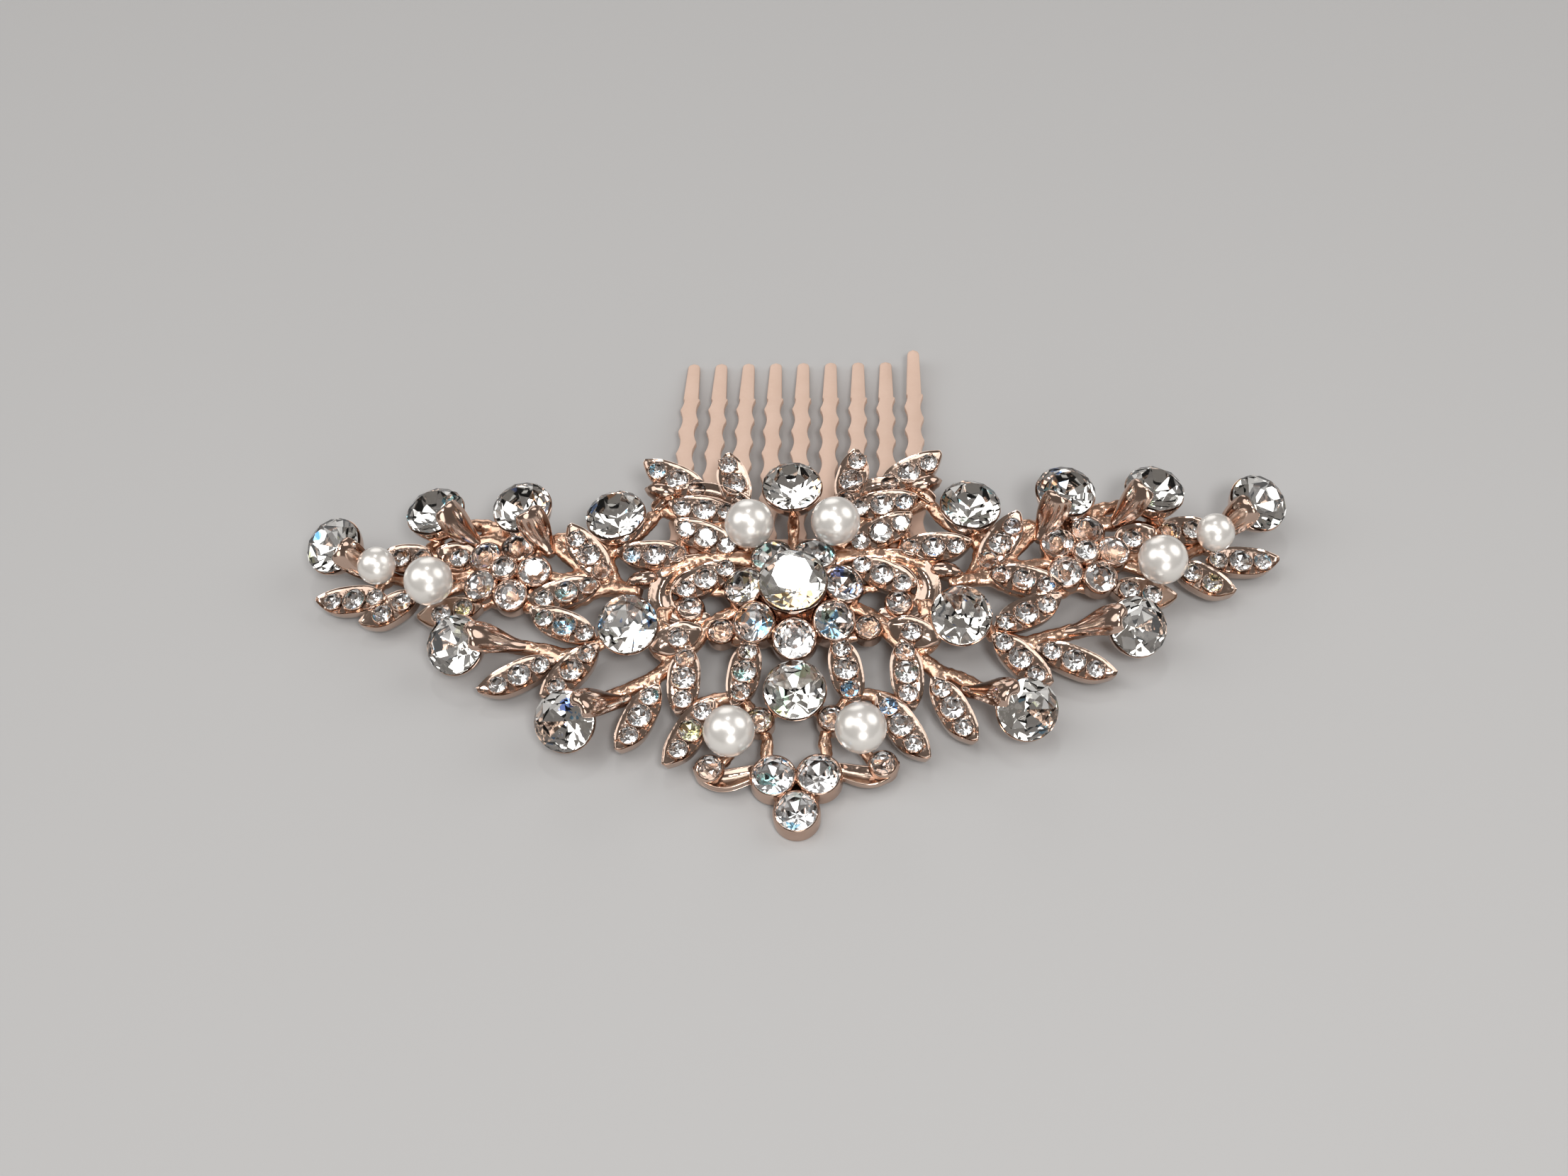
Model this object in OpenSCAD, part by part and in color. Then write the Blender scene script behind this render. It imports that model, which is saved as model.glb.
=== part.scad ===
// Hair comb with a pierced spray of leaves, buds and flowers, set with cut stones and pearls.
// X runs across the spray, Y from its front tip to the tips of the comb's teeth, and Z up from
// the surface that the comb lies on. The spray rests on its front cup, the comb on its tips.

/* [Spray] */
// Half of the width over which the spray is laid out
half_span = 60; // [57:1:66]
// Length over which the spray is laid out, from its front tip to its back leaves
depth = 52; // [50:1:58]
// Radius of the arch across the spray, which follows the head
arch_radius = 400; // [380:10:900]
// Angle between the spray and the surface that it lies on
rest_tilt = 8; // [7:0.5:10]
// How far the ends of the wings are bent, to the front on the left and to the back on the right
wing_bend = 1.5; // [0:0.1:2]

/* [Stems] */
// Width of a plain stem
stem_w = 1.5; // [1.2:0.1:2]
// Thickness of the stems
stem_t = 1.2; // [1:0.1:1.6]
// Height of the stems' underside above the underside of the cups
stem_lift = 0.15; // [0.1:0.05:0.3]

/* [Leaves] */
// Length of a full leaf
leaf_l = 9.4; // [9:0.1:10.4]
// Width of a full leaf
leaf_w = 4; // [3.9:0.1:4.6]
// Thickness of a leaf
leaf_t = 1.6; // [1.4:0.1:1.9]
// Height of the leaves' underside above the underside of the cups
leaf_lift = 0.3; // [0.2:0.05:0.4]
// Metal left round the seats at the ends of a leaf
leaf_rim = 0.25; // [0.2:0.05:0.4]
// Length of a small plain bud
plain_bud_l = 4.4; // [4:0.1:4.8]
// Width of a small plain bud
plain_bud_w = 2.3; // [2:0.1:2.6]
// Thickness of a small plain bud
plain_bud_t = 2.5; // [2.1:0.1:2.8]

/* [Round stones] */
// Diameter of the large stones that stand in open cups
bud_stone_d = 7.2; // [6.8:0.1:7.4]
// Diameter of the raised stone in the centre
centre_stone_d = 8; // [7.6:0.1:8.2]
// Diameter of the stones in the petals and in the front trio
petal_stone_d = 4.7; // [4.4:0.1:4.8]
// Diameter of the petal stones of the two side flowers
side_petal_d = 3.7; // [3.5:0.1:3.8]
// Diameter of the stone in the middle of each side flower
side_centre_d = 2.6; // [2.4:0.1:2.7]
// Diameter of the middle stone of a leaf and of the single small stones
leaf_stone_d = 2.8; // [2.6:0.1:2.9]
// Diameter of the stones at the ends of a leaf
end_stone_d = 2.2; // [2:0.1:2.3]
// Diameter of the stones of a leaf that has one or two
pair_stone_d = 2.4; // [2.2:0.1:2.5]
// Wall of the cups
cup_wall = 0.3; // [0.25:0.05:0.4]

/* [Pearls] */
// Diameter of the six large pearls
pearl_d = 6; // [5.6:0.1:6.2]
// Diameter of the two small pearls
small_pearl_d = 4.7; // [4.4:0.1:4.9]
// Diameter of the pegs that the pearls are glued on
peg_d = 0.9; // [0.7:0.1:1.2]
// Height of a pearl's underside above its stem
pearl_lift = 0.6; // [0.5:0.05:0.8]

/* [Comb] */
// Number of teeth
tooth_count = 9; // [7:1:9]
// Distance from tooth to tooth
tooth_pitch = 3.7; // [3.6:0.1:3.9]
// Width of a tooth over its points
tooth_w = 2.5; // [2.3:0.1:2.7]
// Width of a tooth at its rounded tip
tip_w = 1.6; // [1.4:0.1:1.8]
// Length of a tooth in front of the bar
tooth_l = 34.8; // [32:0.2:38]
// Length of the plain end of a tooth
plain_l = 7.5; // [6:0.5:9]
// Distance between the points along a tooth
point_pitch = 4.4; // [4:0.1:5]
// Depth of the round bites between the points
bite_depth = 0.4; // [0.3:0.05:0.5]
// Thickness of the comb
comb_t = 0.8; // [0.7:0.05:1]
// Width of the bar that joins the teeth
bar_w = 4; // [3.5:0.1:5]
// Distance from the spray's front tip to the middle of the bar
bar_back = 39; // [38:0.5:41]
// Sideways place of the comb, which is soldered a little off centre
bar_shift = 0.25; // [0:0.05:1]
// Turn of the comb, seen from above, which is soldered a little askew
comb_turn = 1.6; // [0:0.2:2]

/* [Fit] */
// Gap between a stone or a pearl and its setting
gap = 0.1; // [0.1:0.01:0.14]

/* [Hidden] */
$fn = 48;

// Places in the tables are shares: hundredths of half_span outwards from the middle, and
// hundredths of depth backwards from the front tip. Each row is made on both sides.
function out_mm(share) = share / 100 * half_span;
function back_mm(share) = share / 100 * depth;
// The bend of the wings starts at this share of half_span
BEND_START = 0.72;
function bend_mm(x) =
    sign(x) * wing_bend * max(0, abs(x) / half_span - BEND_START) / (1 - BEND_START);

// Leaves: outwards, backwards, turn, length in hundredths of leaf_l, rise of the tip, stones.
// A leaf points along its turn, which counts from outwards towards the back.
LEAVES = [
    [12.3, 93.5,  73,  84, 10, 3], // back leaf beside the top stone
    [24.8, 95.0,  24,  96, 10, 3], // back corner leaf
    [18.8, 85.6,   5,  90,  4, 3], // under the corner leaf
    [18.3, 78.2,  25,  90,  4, 3], // beside the back pearl
    [28.8, 73.8,   0,  94,  3, 3], // along the main stem
    [18.2, 66.3, -30,  88,  2, 3], // in the upper fold
    [42.1, 75.4,  54,  98,  5, 3], // standing leaf inside the side flower
    [46.5, 64.8, -16,  96,  2, 3], // before the side flower
    [46.5, 56.3,  24,  98,  2, 3], // outside the middle bud
    [55.0, 43.6, -25, 106,  0, 3], // towards the wing's front bud
    [44.4, 43.9, -50,  99,  0, 3], // before the middle bud
    [30.5, 31.2, -65, 102,  0, 3], // inside the front bud
    [21.8, 40.2, -88,  98,  0, 3], // second leaf from the middle
    [10.0, 41.4, -81,  98,  0, 3], // beside the stone below the centre
    [20.5, 27.1, -60, 108,  0, 3], // outside the front pearl
    [23.4, 51.0, -28,  70,  0, 1], // single stone inside the middle bud
    [90.8, 69.4,   0,  98,  0, 3], // wing tip
    [82.4, 65.0, -32,  86,  0, 2], // second leaf of the wing
    [69.7, 61.8, -13,  86,  0, 2], // above the wing's front bud
    [79.6, 78.4,   5,  72,  3, 2], // under the small pearl
    [69.2, 76.6,  15,  60,  2, 1]  // between the side flower and the outer pearl
];
// The stones of a leaf lie this far behind its middle
LEAF_SET_BACK = 0.25;

// Buds: outwards, backwards, height of the stone's girdle, lean to the front, lean outwards,
// and the side of the stone that its sepal grips, as a turn.
BUDS = [
    [32.8, 53.7, 3.3,  12,  0, 999],
    [35.8, 82.6, 4.0, -10,  4, 999],
    [55.2, 86.4, 4.1,  -7,  4, -122],
    [73.4, 87.4, 4.1, -14,  5, -145],
    [94.4, 82.6, 4.1,   5, 13, -143],
    [67.0, 50.5, 4.0,  18, 15, 175],
    [44.2, 29.1, 4.0,  26, 10, 150]
];
NO_SEPAL = 999;
TOP_BUD = [0, 88.3, 4.1, -9, 0];
BELOW_BUD = [0, 35.6, 3.0, 6, 0];
CENTRE_BUD = [0, 60.3, 6.3, 0, 0];

// Small polished buds without a stone: outwards, backwards, turn
PLAIN_BUDS = [[27.5, 91.8, 15], [30.8, 67.5, -12]];

// Single small stones in round cups: outwards, backwards, height of the girdle
SINGLES = [
    [14.5, 52.5, 1.9],
    [ 7.0, 29.5, 1.9],
    [16.6, 18.2, 1.8],
    [20.8, 58.9, 1.8]
];

// Pearls on each side: outwards, backwards, and whether it is a small one
PEARLS = [[8.6, 77.4, false], [73.0, 67.2, false], [84.6, 74.6, true], [12.4, 24.0, false]];

// Centre flower: middle, number and lean of the petals, and the height of their girdles
FLOWER_BACK = 60.3;
petal_count = 7;
petal_lean = 18;
petal_girdle = 2.9;
// Front trio: how far back its two side cups stand, and the height of the girdles
TRIO_BACK = 15.4;
trio_girdle = 2.1;
// Side flowers: middle, and how far each is turned
SIDE_FLOWER = [58.6, 71.3];
SIDE_TURN = [41, 9];
side_petal_count = 5;
side_lean = 10;
side_girdle = 2.2;
side_centre_girdle = 3.3;

// Stems: start width and end width as shares of stem_w in hundredths, then the route
STEMS = [
    [110, 110, [[8, 76], [9.5, 86], [14.5, 90], [19.5, 91.5], [25, 90.5], [28.5, 86.5],
                [31, 82], [35, 78.5], [39, 78], [44, 80.5], [50, 80.5]]],
    [100, 100, [[31.5, 81], [36, 83.5]]],
    [100, 90,  [[27.5, 87.5], [23, 84.5], [17, 82.5], [11, 82], [8.2, 78.6]]],
    [100, 110, [[50, 80.5], [55, 83], [62, 85], [67, 86.5], [73.5, 86]]],
    [150, 110, [[6, 71], [12, 72.5], [19, 73], [25, 71], [31, 67.5]]],
    [130, 110, [[31, 65], [35, 65.8], [40, 66], [44, 63.5], [49.5, 62], [54, 63], [59, 68]]],
    [110, 100, [[50, 80.5], [46, 75], [41, 70.5], [36, 67], [31, 65]]],
    [100, 100, [[38, 75], [37, 70], [35, 66]]],
    [160, 200, [[18, 72], [23.5, 70.5], [26.5, 66.5], [27, 62], [25, 57.5], [20, 55.5], [16.5, 56]]],
    [80, 80,   [[23.5, 61], [19, 63.8], [14, 63.5], [11, 60.5]]],
    [150, 110, [[26, 60], [27, 55], [27.5, 50], [24.5, 46.5]]],
    [120, 110, [[11, 59], [16.5, 55.5], [19.5, 51], [22, 47.5], [24.5, 45], [27.5, 42.5], [28.2, 38]]],
    [110, 100, [[23, 46], [21, 48.5]]],
    [110, 140, [[24, 45], [29, 41.5], [34, 38.8], [39, 35.5], [43.6, 32.5]]],
    [120, 100, [[17, 55], [13, 52], [8, 50.5], [6.5, 51.5]]],
    [100, 100, [[20.5, 34], [17, 35.5], [13.5, 36.2], [10.5, 35.5], [8, 31.5], [7, 29.5]]],
    [100, 90,  [[3.5, 33], [7, 29.5], [5.5, 25.5], [5.8, 21.5], [4.8, 17.5]]],
    [100, 90,  [[16.5, 35], [15, 30], [12.5, 24.6], [14, 20.5], [16.6, 18.2]]],
    [110, 80,  [[19, 18.5], [15.5, 15.7], [11, 16.8], [6.5, 17.8]]],
    [120, 110, [[37, 54], [39.5, 51.5], [42.5, 50], [46, 49]]],
    [90, 90,   [[46, 49], [50.5, 46.2]]],
    [110, 140, [[46, 49], [50, 50.5], [55, 52], [60, 53.5], [65.8, 53.2]]],
    [100, 90,  [[59, 69], [62.5, 64.5], [66, 63]]],
    [110, 100, [[62, 72.5], [68, 70], [73, 67.8], [78, 68.8]]],
    [100, 100, [[75, 69], [79, 72.3], [85, 75.6], [89, 79.5], [92.5, 82]]],
    [90, 90,   [[85, 75.6], [86, 72.5], [88, 69.8]]],
    [100, 110, [[77, 78], [75.5, 81.5], [72.5, 85.5]]],
    [110, 100, [[61, 76], [60, 81], [62, 85]]],
    [90, 90,   [[70.5, 76], [73.5, 72.5], [73, 67.8]]]
];
// Stems on the middle line: back end, front end, width in hundredths of stem_w
SPINE = [[94, 60, 90], [53, 41, 90]];
// Straight steps that a route takes from one of its points to the next
ROUTE_STEPS = 3;
// Flat strips that make up the arch on each side
ARCH_STRIPS = 7;

// Stone shape: girdle, crown, table and pointed back as shares of the diameter
GIRDLE = 0.06;
CROWN = 0.16;
TABLE = 0.56;
PAVILION = 0.36;
pavilion_slope = PAVILION / 0.5;
BIG_SIDES = 12;
PETAL_SIDES = 10;
SMALL_SIDES = 8;
// A stone's back stays this far above the bottom of its cup
under_stone = gap * 1.5;
// A leaf's stones stand this far lower than the leaf's face
STONE_SINK = 0.05;

// Open cups: how far the stone overhangs the rim, thickness of the floor, and the radius of
// the foot and of the hollow's bottom as shares of the stone's diameter
OVERHANG = 0.05;
CUP_FLOOR = 0.5;
FOOT = 0.31;
HOLLOW_FOOT = 0.2;
// The hollow is cut this far above the rim
ABOVE_RIM = 0.3;
// Sepals: thickness, half width as a share of the stone's diameter, and half width at the stem
SEPAL_T = 0.6;
SEPAL_W = 0.29;
SEPAL_STEM_W = 0.9;
// Radius of the post under the centre stone, as a share of that stone's diameter
POST = 0.2;

// Height of the feet of the closed cups above the underside of the spray
PETAL_FOOT = 0.6;
SIDE_FOOT = 0.35;
SIDE_CENTRE_FOOT = 0.42;
SINGLE_FOOT = 0.05;
// How far cups that stand side by side are soldered into each other
CUP_OVERLAP = 0.28;
// Petals that stand side by side differ by this much in height, or by twice as much
PETAL_STEP = 0.08;
function petal_rise(i, count) = PETAL_STEP * (i % count == count - 1 ? 2 : i % count % 2);
petal_cup_r = petal_stone_d / 2 + gap + cup_wall;
side_cup_r = side_petal_d / 2 + gap + cup_wall;
petal_ring = (petal_cup_r - CUP_OVERLAP / 2) / sin(180 / petal_count);
side_ring = (side_cup_r - CUP_OVERLAP / 2) / sin(180 / side_petal_count);
trio_step = 2 * petal_cup_r - CUP_OVERLAP;
trio_tip_back = back_mm(TRIO_BACK) - trio_step * sin(60);
flower_back = back_mm(FLOWER_BACK);

stem_top = stem_lift + stem_t;
leaf_top = leaf_lift + leaf_t;
// Pegs: height of the foot inside the stem, share of the pearl that they reach into, and the
// metal round the foot
PEG_FOOT = 0.3;
PEG_REACH = 0.42;
PEG_PAD = 0.5;
// A pearl's middle stands at least this far outside the ring of petals
PEARL_CLEAR = 1.5;

// Comb: how deep the bar is let into the spray, how deep a tooth starts in the bar, width of a
// point, and how much the plain end widens on each side towards the points
BAR_SINK = 0.35;
TOOTH_ROOT = 1;
POINT_W = 0.25;
END_FLARE = 0.2;
teeth_w = (tooth_count - 1) * tooth_pitch;

// The spray's tip cup and the undersides of the teeth's tips lie on the resting surface
trio_front = trio_tip_back - petal_cup_r;
front_z = -trio_front * sin(rest_tilt);
bar_z = front_z + bar_back * sin(rest_tilt) + (BAR_SINK - comb_t / 2) * cos(rest_tilt);
reach = tooth_l + bar_w / 2;
comb_slope = asin(bar_z / norm([reach, comb_t / 2])) - atan(comb_t / 2 / reach);
// The origin lies in the middle between the tip cup's edge and the ends of the teeth
trio_rim = trio_girdle + GIRDLE * petal_stone_d;
front_edge = trio_front * cos(rest_tilt) - trio_rim * sin(rest_tilt);
back_edge = bar_back * cos(rest_tilt) + teeth_w / 2 * sin(comb_turn)
    + (reach * cos(comb_slope) + comb_t / 2 * sin(comb_slope)) * cos(comb_turn);
front_y = -(front_edge + back_edge) / 2;

module laid() {
    translate([0, front_y, front_z]) rotate([rest_tilt, 0, 0]) children();
}

// A place in the spray's plan, in millimetres, on the left (-1) or the right (1)
function place(side, out, back) =
    let (x = side * out_mm(out)) [x, back_mm(back) + bend_mm(x)];
function arch_drop(x) = x * x / (2 * arch_radius);
// A pearl's place, kept clear of the petals of the centre flower
function pearl_place(side, pearl) =
    let (at = place(side, pearl[0], pearl[1]), away = at - [0, flower_back],
         least = petal_ring + petal_cup_r + PEARL_CLEAR)
    norm(away) < least ? [0, flower_back] + away * least / norm(away) : at;

// Puts its children on the arched underside of the spray, with Z square to it
module on_sheet(at, lift = 0) {
    translate([at[0], at[1], -arch_drop(at[0])])
        rotate([0, asin(at[0] / arch_radius), 0])
            translate([0, 0, lift]) children();
}

// An angle in plan that is mirrored on the left side
function turned(side, angle) = side > 0 ? angle : 180 - angle;

// A bud's own frame: its origin is the middle of the stone's girdle
module bud_frame(side, bud) {
    on_sheet(place(side, bud[0], bud[1]), bud[2]) rotate([bud[3], side * bud[4], 0]) children();
}

// A leaf's own frame: X towards its tip, Z out of its stones
module leaf_frame(side, leaf) {
    on_sheet(place(side, leaf[0], leaf[1]))
        rotate([0, 0, turned(side, leaf[2])]) rotate([0, -leaf[4], 0]) children();
}

// Frames of the stones that stand in closed cups
module petal_frame(i) {
    angle = -90 + i * 360 / petal_count;
    on_sheet([petal_ring * cos(angle), flower_back + petal_ring * sin(angle)],
             petal_girdle + petal_rise(i, petal_count))
        rotate([0, 0, angle]) rotate([0, petal_lean, 0]) children();
}
module trio_frame(side) {
    on_sheet([0, side == 0 ? trio_tip_back : back_mm(TRIO_BACK)], trio_girdle)
        translate([side * trio_step / 2, 0, 0]) children();
}
module side_flower_frame(side, lift) {
    on_sheet(place(side, SIDE_FLOWER[0], SIDE_FLOWER[1]), lift) children();
}
module side_petal_frame(side, i) {
    turn = side < 0 ? SIDE_TURN[0] : SIDE_TURN[1];
    side_flower_frame(side, side_girdle + petal_rise(i, side_petal_count))
        rotate([0, 0, turned(side, turn + i * 360 / side_petal_count)])
            translate([side_ring, 0, 0]) rotate([0, side_lean, 0]) children();
}
module single_frame(side, single) {
    on_sheet(place(side, single[0], single[1]), single[2]) children();
}

// One cut stone on its girdle: a table, a ring of crown facets, a girdle and a pointed back
module cut_stone(d, sides) {
    function ring(r, z) = [for (i = [0:sides - 1])
        [r * cos(i * 360 / sides), r * sin(i * 360 / sides), z]];
    function at(level, i) = 1 + level * sides + i % sides;
    r = d / 2;
    points = concat([[0, 0, -PAVILION * d]], ring(r, 0), ring(r, GIRDLE * d),
                    ring(r * TABLE, (GIRDLE + CROWN) * d));
    faces = concat(
        [for (i = [0:sides - 1]) [0, at(0, i), at(0, i + 1)]],
        [for (level = [0, 1]) for (i = [0:sides - 1])
            [at(level, i), at(level + 1, i), at(level + 1, i + 1), at(level, i + 1)]],
        [[for (i = [0:sides - 1]) at(2, sides - 1 - i)]]);
    polyhedron(points, faces);
}

// Open cup: the stone's girdle stands over its rim, and its back reaches down inside
function cup_rim_r(d) = d / 2 - OVERHANG;
function cup_rim_z(d) = -(OVERHANG + cup_wall) * pavilion_slope - gap * 1.3;
function cup_bottom(d) = -PAVILION * d - under_stone;
module open_cup(d) {
    translate([0, 0, cup_bottom(d) - CUP_FLOOR])
        cylinder(h = cup_rim_z(d) - cup_bottom(d) + CUP_FLOOR, r1 = FOOT * d, r2 = cup_rim_r(d));
}
module open_cup_hollow(d) {
    hollow_h = cup_rim_z(d) - cup_bottom(d);
    inner_r = cup_rim_r(d) - cup_wall;
    flare = (inner_r - HOLLOW_FOOT * d) / hollow_h;
    translate([0, 0, cup_bottom(d)])
        cylinder(h = hollow_h + ABOVE_RIM, r1 = HOLLOW_FOOT * d, r2 = inner_r + flare * ABOVE_RIM);
}

// Closed cup: its wall stands round the stone's girdle
module closed_cup(d, girdle, foot) {
    translate([0, 0, foot - girdle])
        cylinder(h = girdle - foot + GIRDLE * d, r = d / 2 + gap + cup_wall);
}
module closed_cup_hollow(d) {
    translate([0, 0, -PAVILION * d - under_stone])
        cylinder(h = PAVILION * d + under_stone + d, r = d / 2 + gap);
}

// Sepal: a curved shield that stands on the cup's stem side and grips over the stone's edge
module sepal() {
    inner = bud_stone_d / 2 + gap * 2;
    half_w = SEPAL_W * bud_stone_d;
    intersection() {
        difference() {
            sphere(r = inner + SEPAL_T);
            sphere(r = inner);
        }
        rotate([90, 0, 90]) linear_extrude(inner + 2 * SEPAL_T) {
            circle(r = half_w);
            polygon([[-half_w, 0], [half_w, 0], [SEPAL_STEM_W, -inner], [-SEPAL_STEM_W, -inner]]);
        }
    }
}

// A stem's route made smooth: every point of the route stays on the curve
function on_curve(p, i, t) =
    let (a = p[max(i - 1, 0)], b = p[i], c = p[i + 1], d = p[min(i + 2, len(p) - 1)])
    b + (c - a) * t / 2 + (2 * a - 5 * b + 4 * c - d) * t * t / 2
      + (3 * b - a - 3 * c + d) * t * t * t / 2;
function smooth(p) = concat(
    [for (i = [0:len(p) - 2]) for (k = [0:ROUTE_STEPS - 1]) on_curve(p, i, k / ROUTE_STEPS)],
    [p[len(p) - 1]]);
function heading(p, i) =
    let (d = p[min(i + 1, len(p) - 1)] - p[max(i - 1, 0)]) d / norm(d);
function offset_route(p, start_w, end_w, hand) = [for (i = [0:len(p) - 1])
    let (h = heading(p, i), w = start_w + (end_w - start_w) * i / (len(p) - 1))
    p[i] + hand * w / 2 * [-h[1], h[0]]];
module stem(side, row) {
    route = smooth([for (point = row[2]) place(side, point[0], point[1])]);
    left = offset_route(route, stem_w * row[0] / 100, stem_w * row[1] / 100, 1);
    right = offset_route(route, stem_w * row[0] / 100, stem_w * row[1] / 100, -1);
    polygon(concat(left, [for (i = [len(right) - 1:-1:0]) right[i]]));
}

// Every stem in plan, with the plates under the flowers and the pearls
module stem_plan() {
    for (side = [-1, 1]) {
        for (row = STEMS) stem(side, row);
        for (pearl = PEARLS)
            translate(pearl_place(side, pearl)) circle(d = peg_d + 2 * PEG_PAD);
        translate(place(side, SIDE_FLOWER[0], SIDE_FLOWER[1])) circle(r = side_ring);
    }
    for (bar = SPINE) translate([-stem_w * bar[2] / 200, back_mm(bar[1])])
        square([stem_w * bar[2] / 100, back_mm(bar[0] - bar[1])]);
    translate([0, flower_back]) circle(r = petal_ring - PEG_PAD);
}

// The band that the stems are cut from, seen from the front
module arch_band() {
    xs = [for (i = [-ARCH_STRIPS:ARCH_STRIPS]) i / ARCH_STRIPS * (half_span + leaf_l)];
    polygon(concat([for (x = xs) [x, -arch_drop(x)]],
                   [for (i = [len(xs) - 1:-1:0]) [xs[i], stem_t - arch_drop(xs[i])]]));
}
module arched_stems() {
    intersection() {
        translate([0, 0, -half_span / 2]) linear_extrude(half_span) stem_plan();
        translate([0, depth + leaf_l, stem_lift])
            rotate([90, 0, 0]) linear_extrude(depth + 2 * leaf_l) arch_band();
    }
}

// The stones of a leaf: place along the leaf in steps from the middle, and diameter
LEAF_SETS = [
    [[0, pair_stone_d]],
    [[-0.5, pair_stone_d], [0.5, pair_stone_d]],
    [[-1, end_stone_d], [0, leaf_stone_d], [1, end_stone_d]]
];
seat_step = (leaf_stone_d + end_stone_d) / 2 + gap * 2.5;
function leaf_set(leaf) = LEAF_SETS[leaf[5] - 1];
function seat_x(set) = set[0] * seat_step - LEAF_SET_BACK;
function seat_r(set) = set[1] / 2 + gap;

// A pointed outline, where two circles cross
module pointed(l, w) {
    r = (l * l + w * w) / (4 * w);
    intersection() {
        translate([0, r - w / 2]) circle(r = r);
        translate([0, w / 2 - r]) circle(r = r);
    }
}
module leaf(leaf) {
    translate([0, 0, leaf_lift]) linear_extrude(leaf_t) {
        pointed(leaf_l * leaf[3] / 100, leaf_w);
        for (set = leaf_set(leaf)) translate([seat_x(set), 0]) circle(r = seat_r(set) + leaf_rim);
    }
}
module leaf_seats(leaf) {
    for (set = leaf_set(leaf)) {
        seat_depth = STONE_SINK + PAVILION * set[1] + under_stone;
        translate([seat_x(set), 0, leaf_top - seat_depth])
            cylinder(h = seat_depth + 1, r = seat_r(set));
    }
}

module bud_cup(side, bud) {
    bud_frame(side, bud) {
        open_cup(bud_stone_d);
        if (bud[5] != NO_SEPAL) rotate([0, 0, turned(side, bud[5])]) sepal();
    }
}
module centre_cup() {
    bud_frame(1, CENTRE_BUD) {
        open_cup(centre_stone_d);
        post_foot = stem_lift + PEG_FOOT - CENTRE_BUD[2];
        post_top = cup_bottom(centre_stone_d) - CUP_FLOOR / 2;
        translate([0, 0, post_foot]) cylinder(h = post_top - post_foot, r = POST * centre_stone_d);
    }
}
function pearl_size(pearl) = pearl[2] ? small_pearl_d : pearl_d;
module peg(side, pearl) {
    on_sheet(pearl_place(side, pearl), stem_lift + PEG_FOOT)
        cylinder(h = stem_t - PEG_FOOT + pearl_lift + PEG_REACH * pearl_size(pearl), d = peg_d);
}

// Leaves, plain buds, cups and pegs of one side
module side_solids(side) {
    for (leaf = LEAVES) leaf_frame(side, leaf) leaf(leaf);
    for (bud = PLAIN_BUDS) on_sheet(place(side, bud[0], bud[1])) rotate([0, 0, turned(side, bud[2])])
        linear_extrude(plain_bud_t) pointed(plain_bud_l, plain_bud_w);
    for (bud = BUDS) bud_cup(side, bud);
    for (pearl = PEARLS) peg(side, pearl);
    for (single = SINGLES)
        single_frame(side, single) closed_cup(leaf_stone_d, single[2], SINGLE_FOOT);
    for (i = [1:side_petal_count])
        side_petal_frame(side, i) closed_cup(side_petal_d, side_girdle, SIDE_FOOT);
    side_flower_frame(side, side_centre_girdle)
        closed_cup(side_centre_d, side_centre_girdle, SIDE_CENTRE_FOOT);
}
module middle_solids() {
    for (i = [1:petal_count]) petal_frame(i) closed_cup(petal_stone_d, petal_girdle, PETAL_FOOT);
    for (side = [-1, 0, 1]) trio_frame(side) closed_cup(petal_stone_d, trio_girdle, 0);
    for (bud = [TOP_BUD, BELOW_BUD]) bud_frame(1, bud) open_cup(bud_stone_d);
    centre_cup();
}

// The seats that are cut into them
module side_hollows(side) {
    for (leaf = LEAVES) leaf_frame(side, leaf) leaf_seats(leaf);
    for (bud = BUDS) bud_frame(side, bud) open_cup_hollow(bud_stone_d);
    for (single = SINGLES) single_frame(side, single) closed_cup_hollow(leaf_stone_d);
    for (i = [1:side_petal_count]) side_petal_frame(side, i) closed_cup_hollow(side_petal_d);
    side_flower_frame(side, side_centre_girdle) closed_cup_hollow(side_centre_d);
}
module middle_hollows() {
    for (i = [1:petal_count]) petal_frame(i) closed_cup_hollow(petal_stone_d);
    for (side = [-1, 0, 1]) trio_frame(side) closed_cup_hollow(petal_stone_d);
    for (bud = [TOP_BUD, BELOW_BUD]) bud_frame(1, bud) open_cup_hollow(bud_stone_d);
    bud_frame(1, CENTRE_BUD) open_cup_hollow(centre_stone_d);
}

// One tooth in plan: round bites leave points along both edges, half a step apart, from where
// the plain end starts
module comb_tooth() {
    pointed_l = tooth_l - plain_l;
    bite_chord = point_pitch - POINT_W;
    bite_r = bite_chord * bite_chord / (8 * bite_depth) + bite_depth / 2;
    difference() {
        union() {
            translate([-tooth_w / 2, -TOOTH_ROOT]) square([tooth_w, pointed_l + TOOTH_ROOT]);
            polygon([[-tip_w / 2 - END_FLARE, pointed_l], [tip_w / 2 + END_FLARE, pointed_l],
                     [tip_w / 2, tooth_l - tip_w / 2], [-tip_w / 2, tooth_l - tip_w / 2]]);
            translate([0, tooth_l - tip_w / 2]) circle(d = tip_w);
        }
        for (hand = [-1, 1]) for (i = [0:floor(pointed_l / point_pitch)])
            translate([hand * (tooth_w / 2 + bite_r - bite_depth),
                       pointed_l + ((hand > 0 ? 0.5 : 0) - i) * point_pitch])
                circle(r = bite_r);
    }
}
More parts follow.
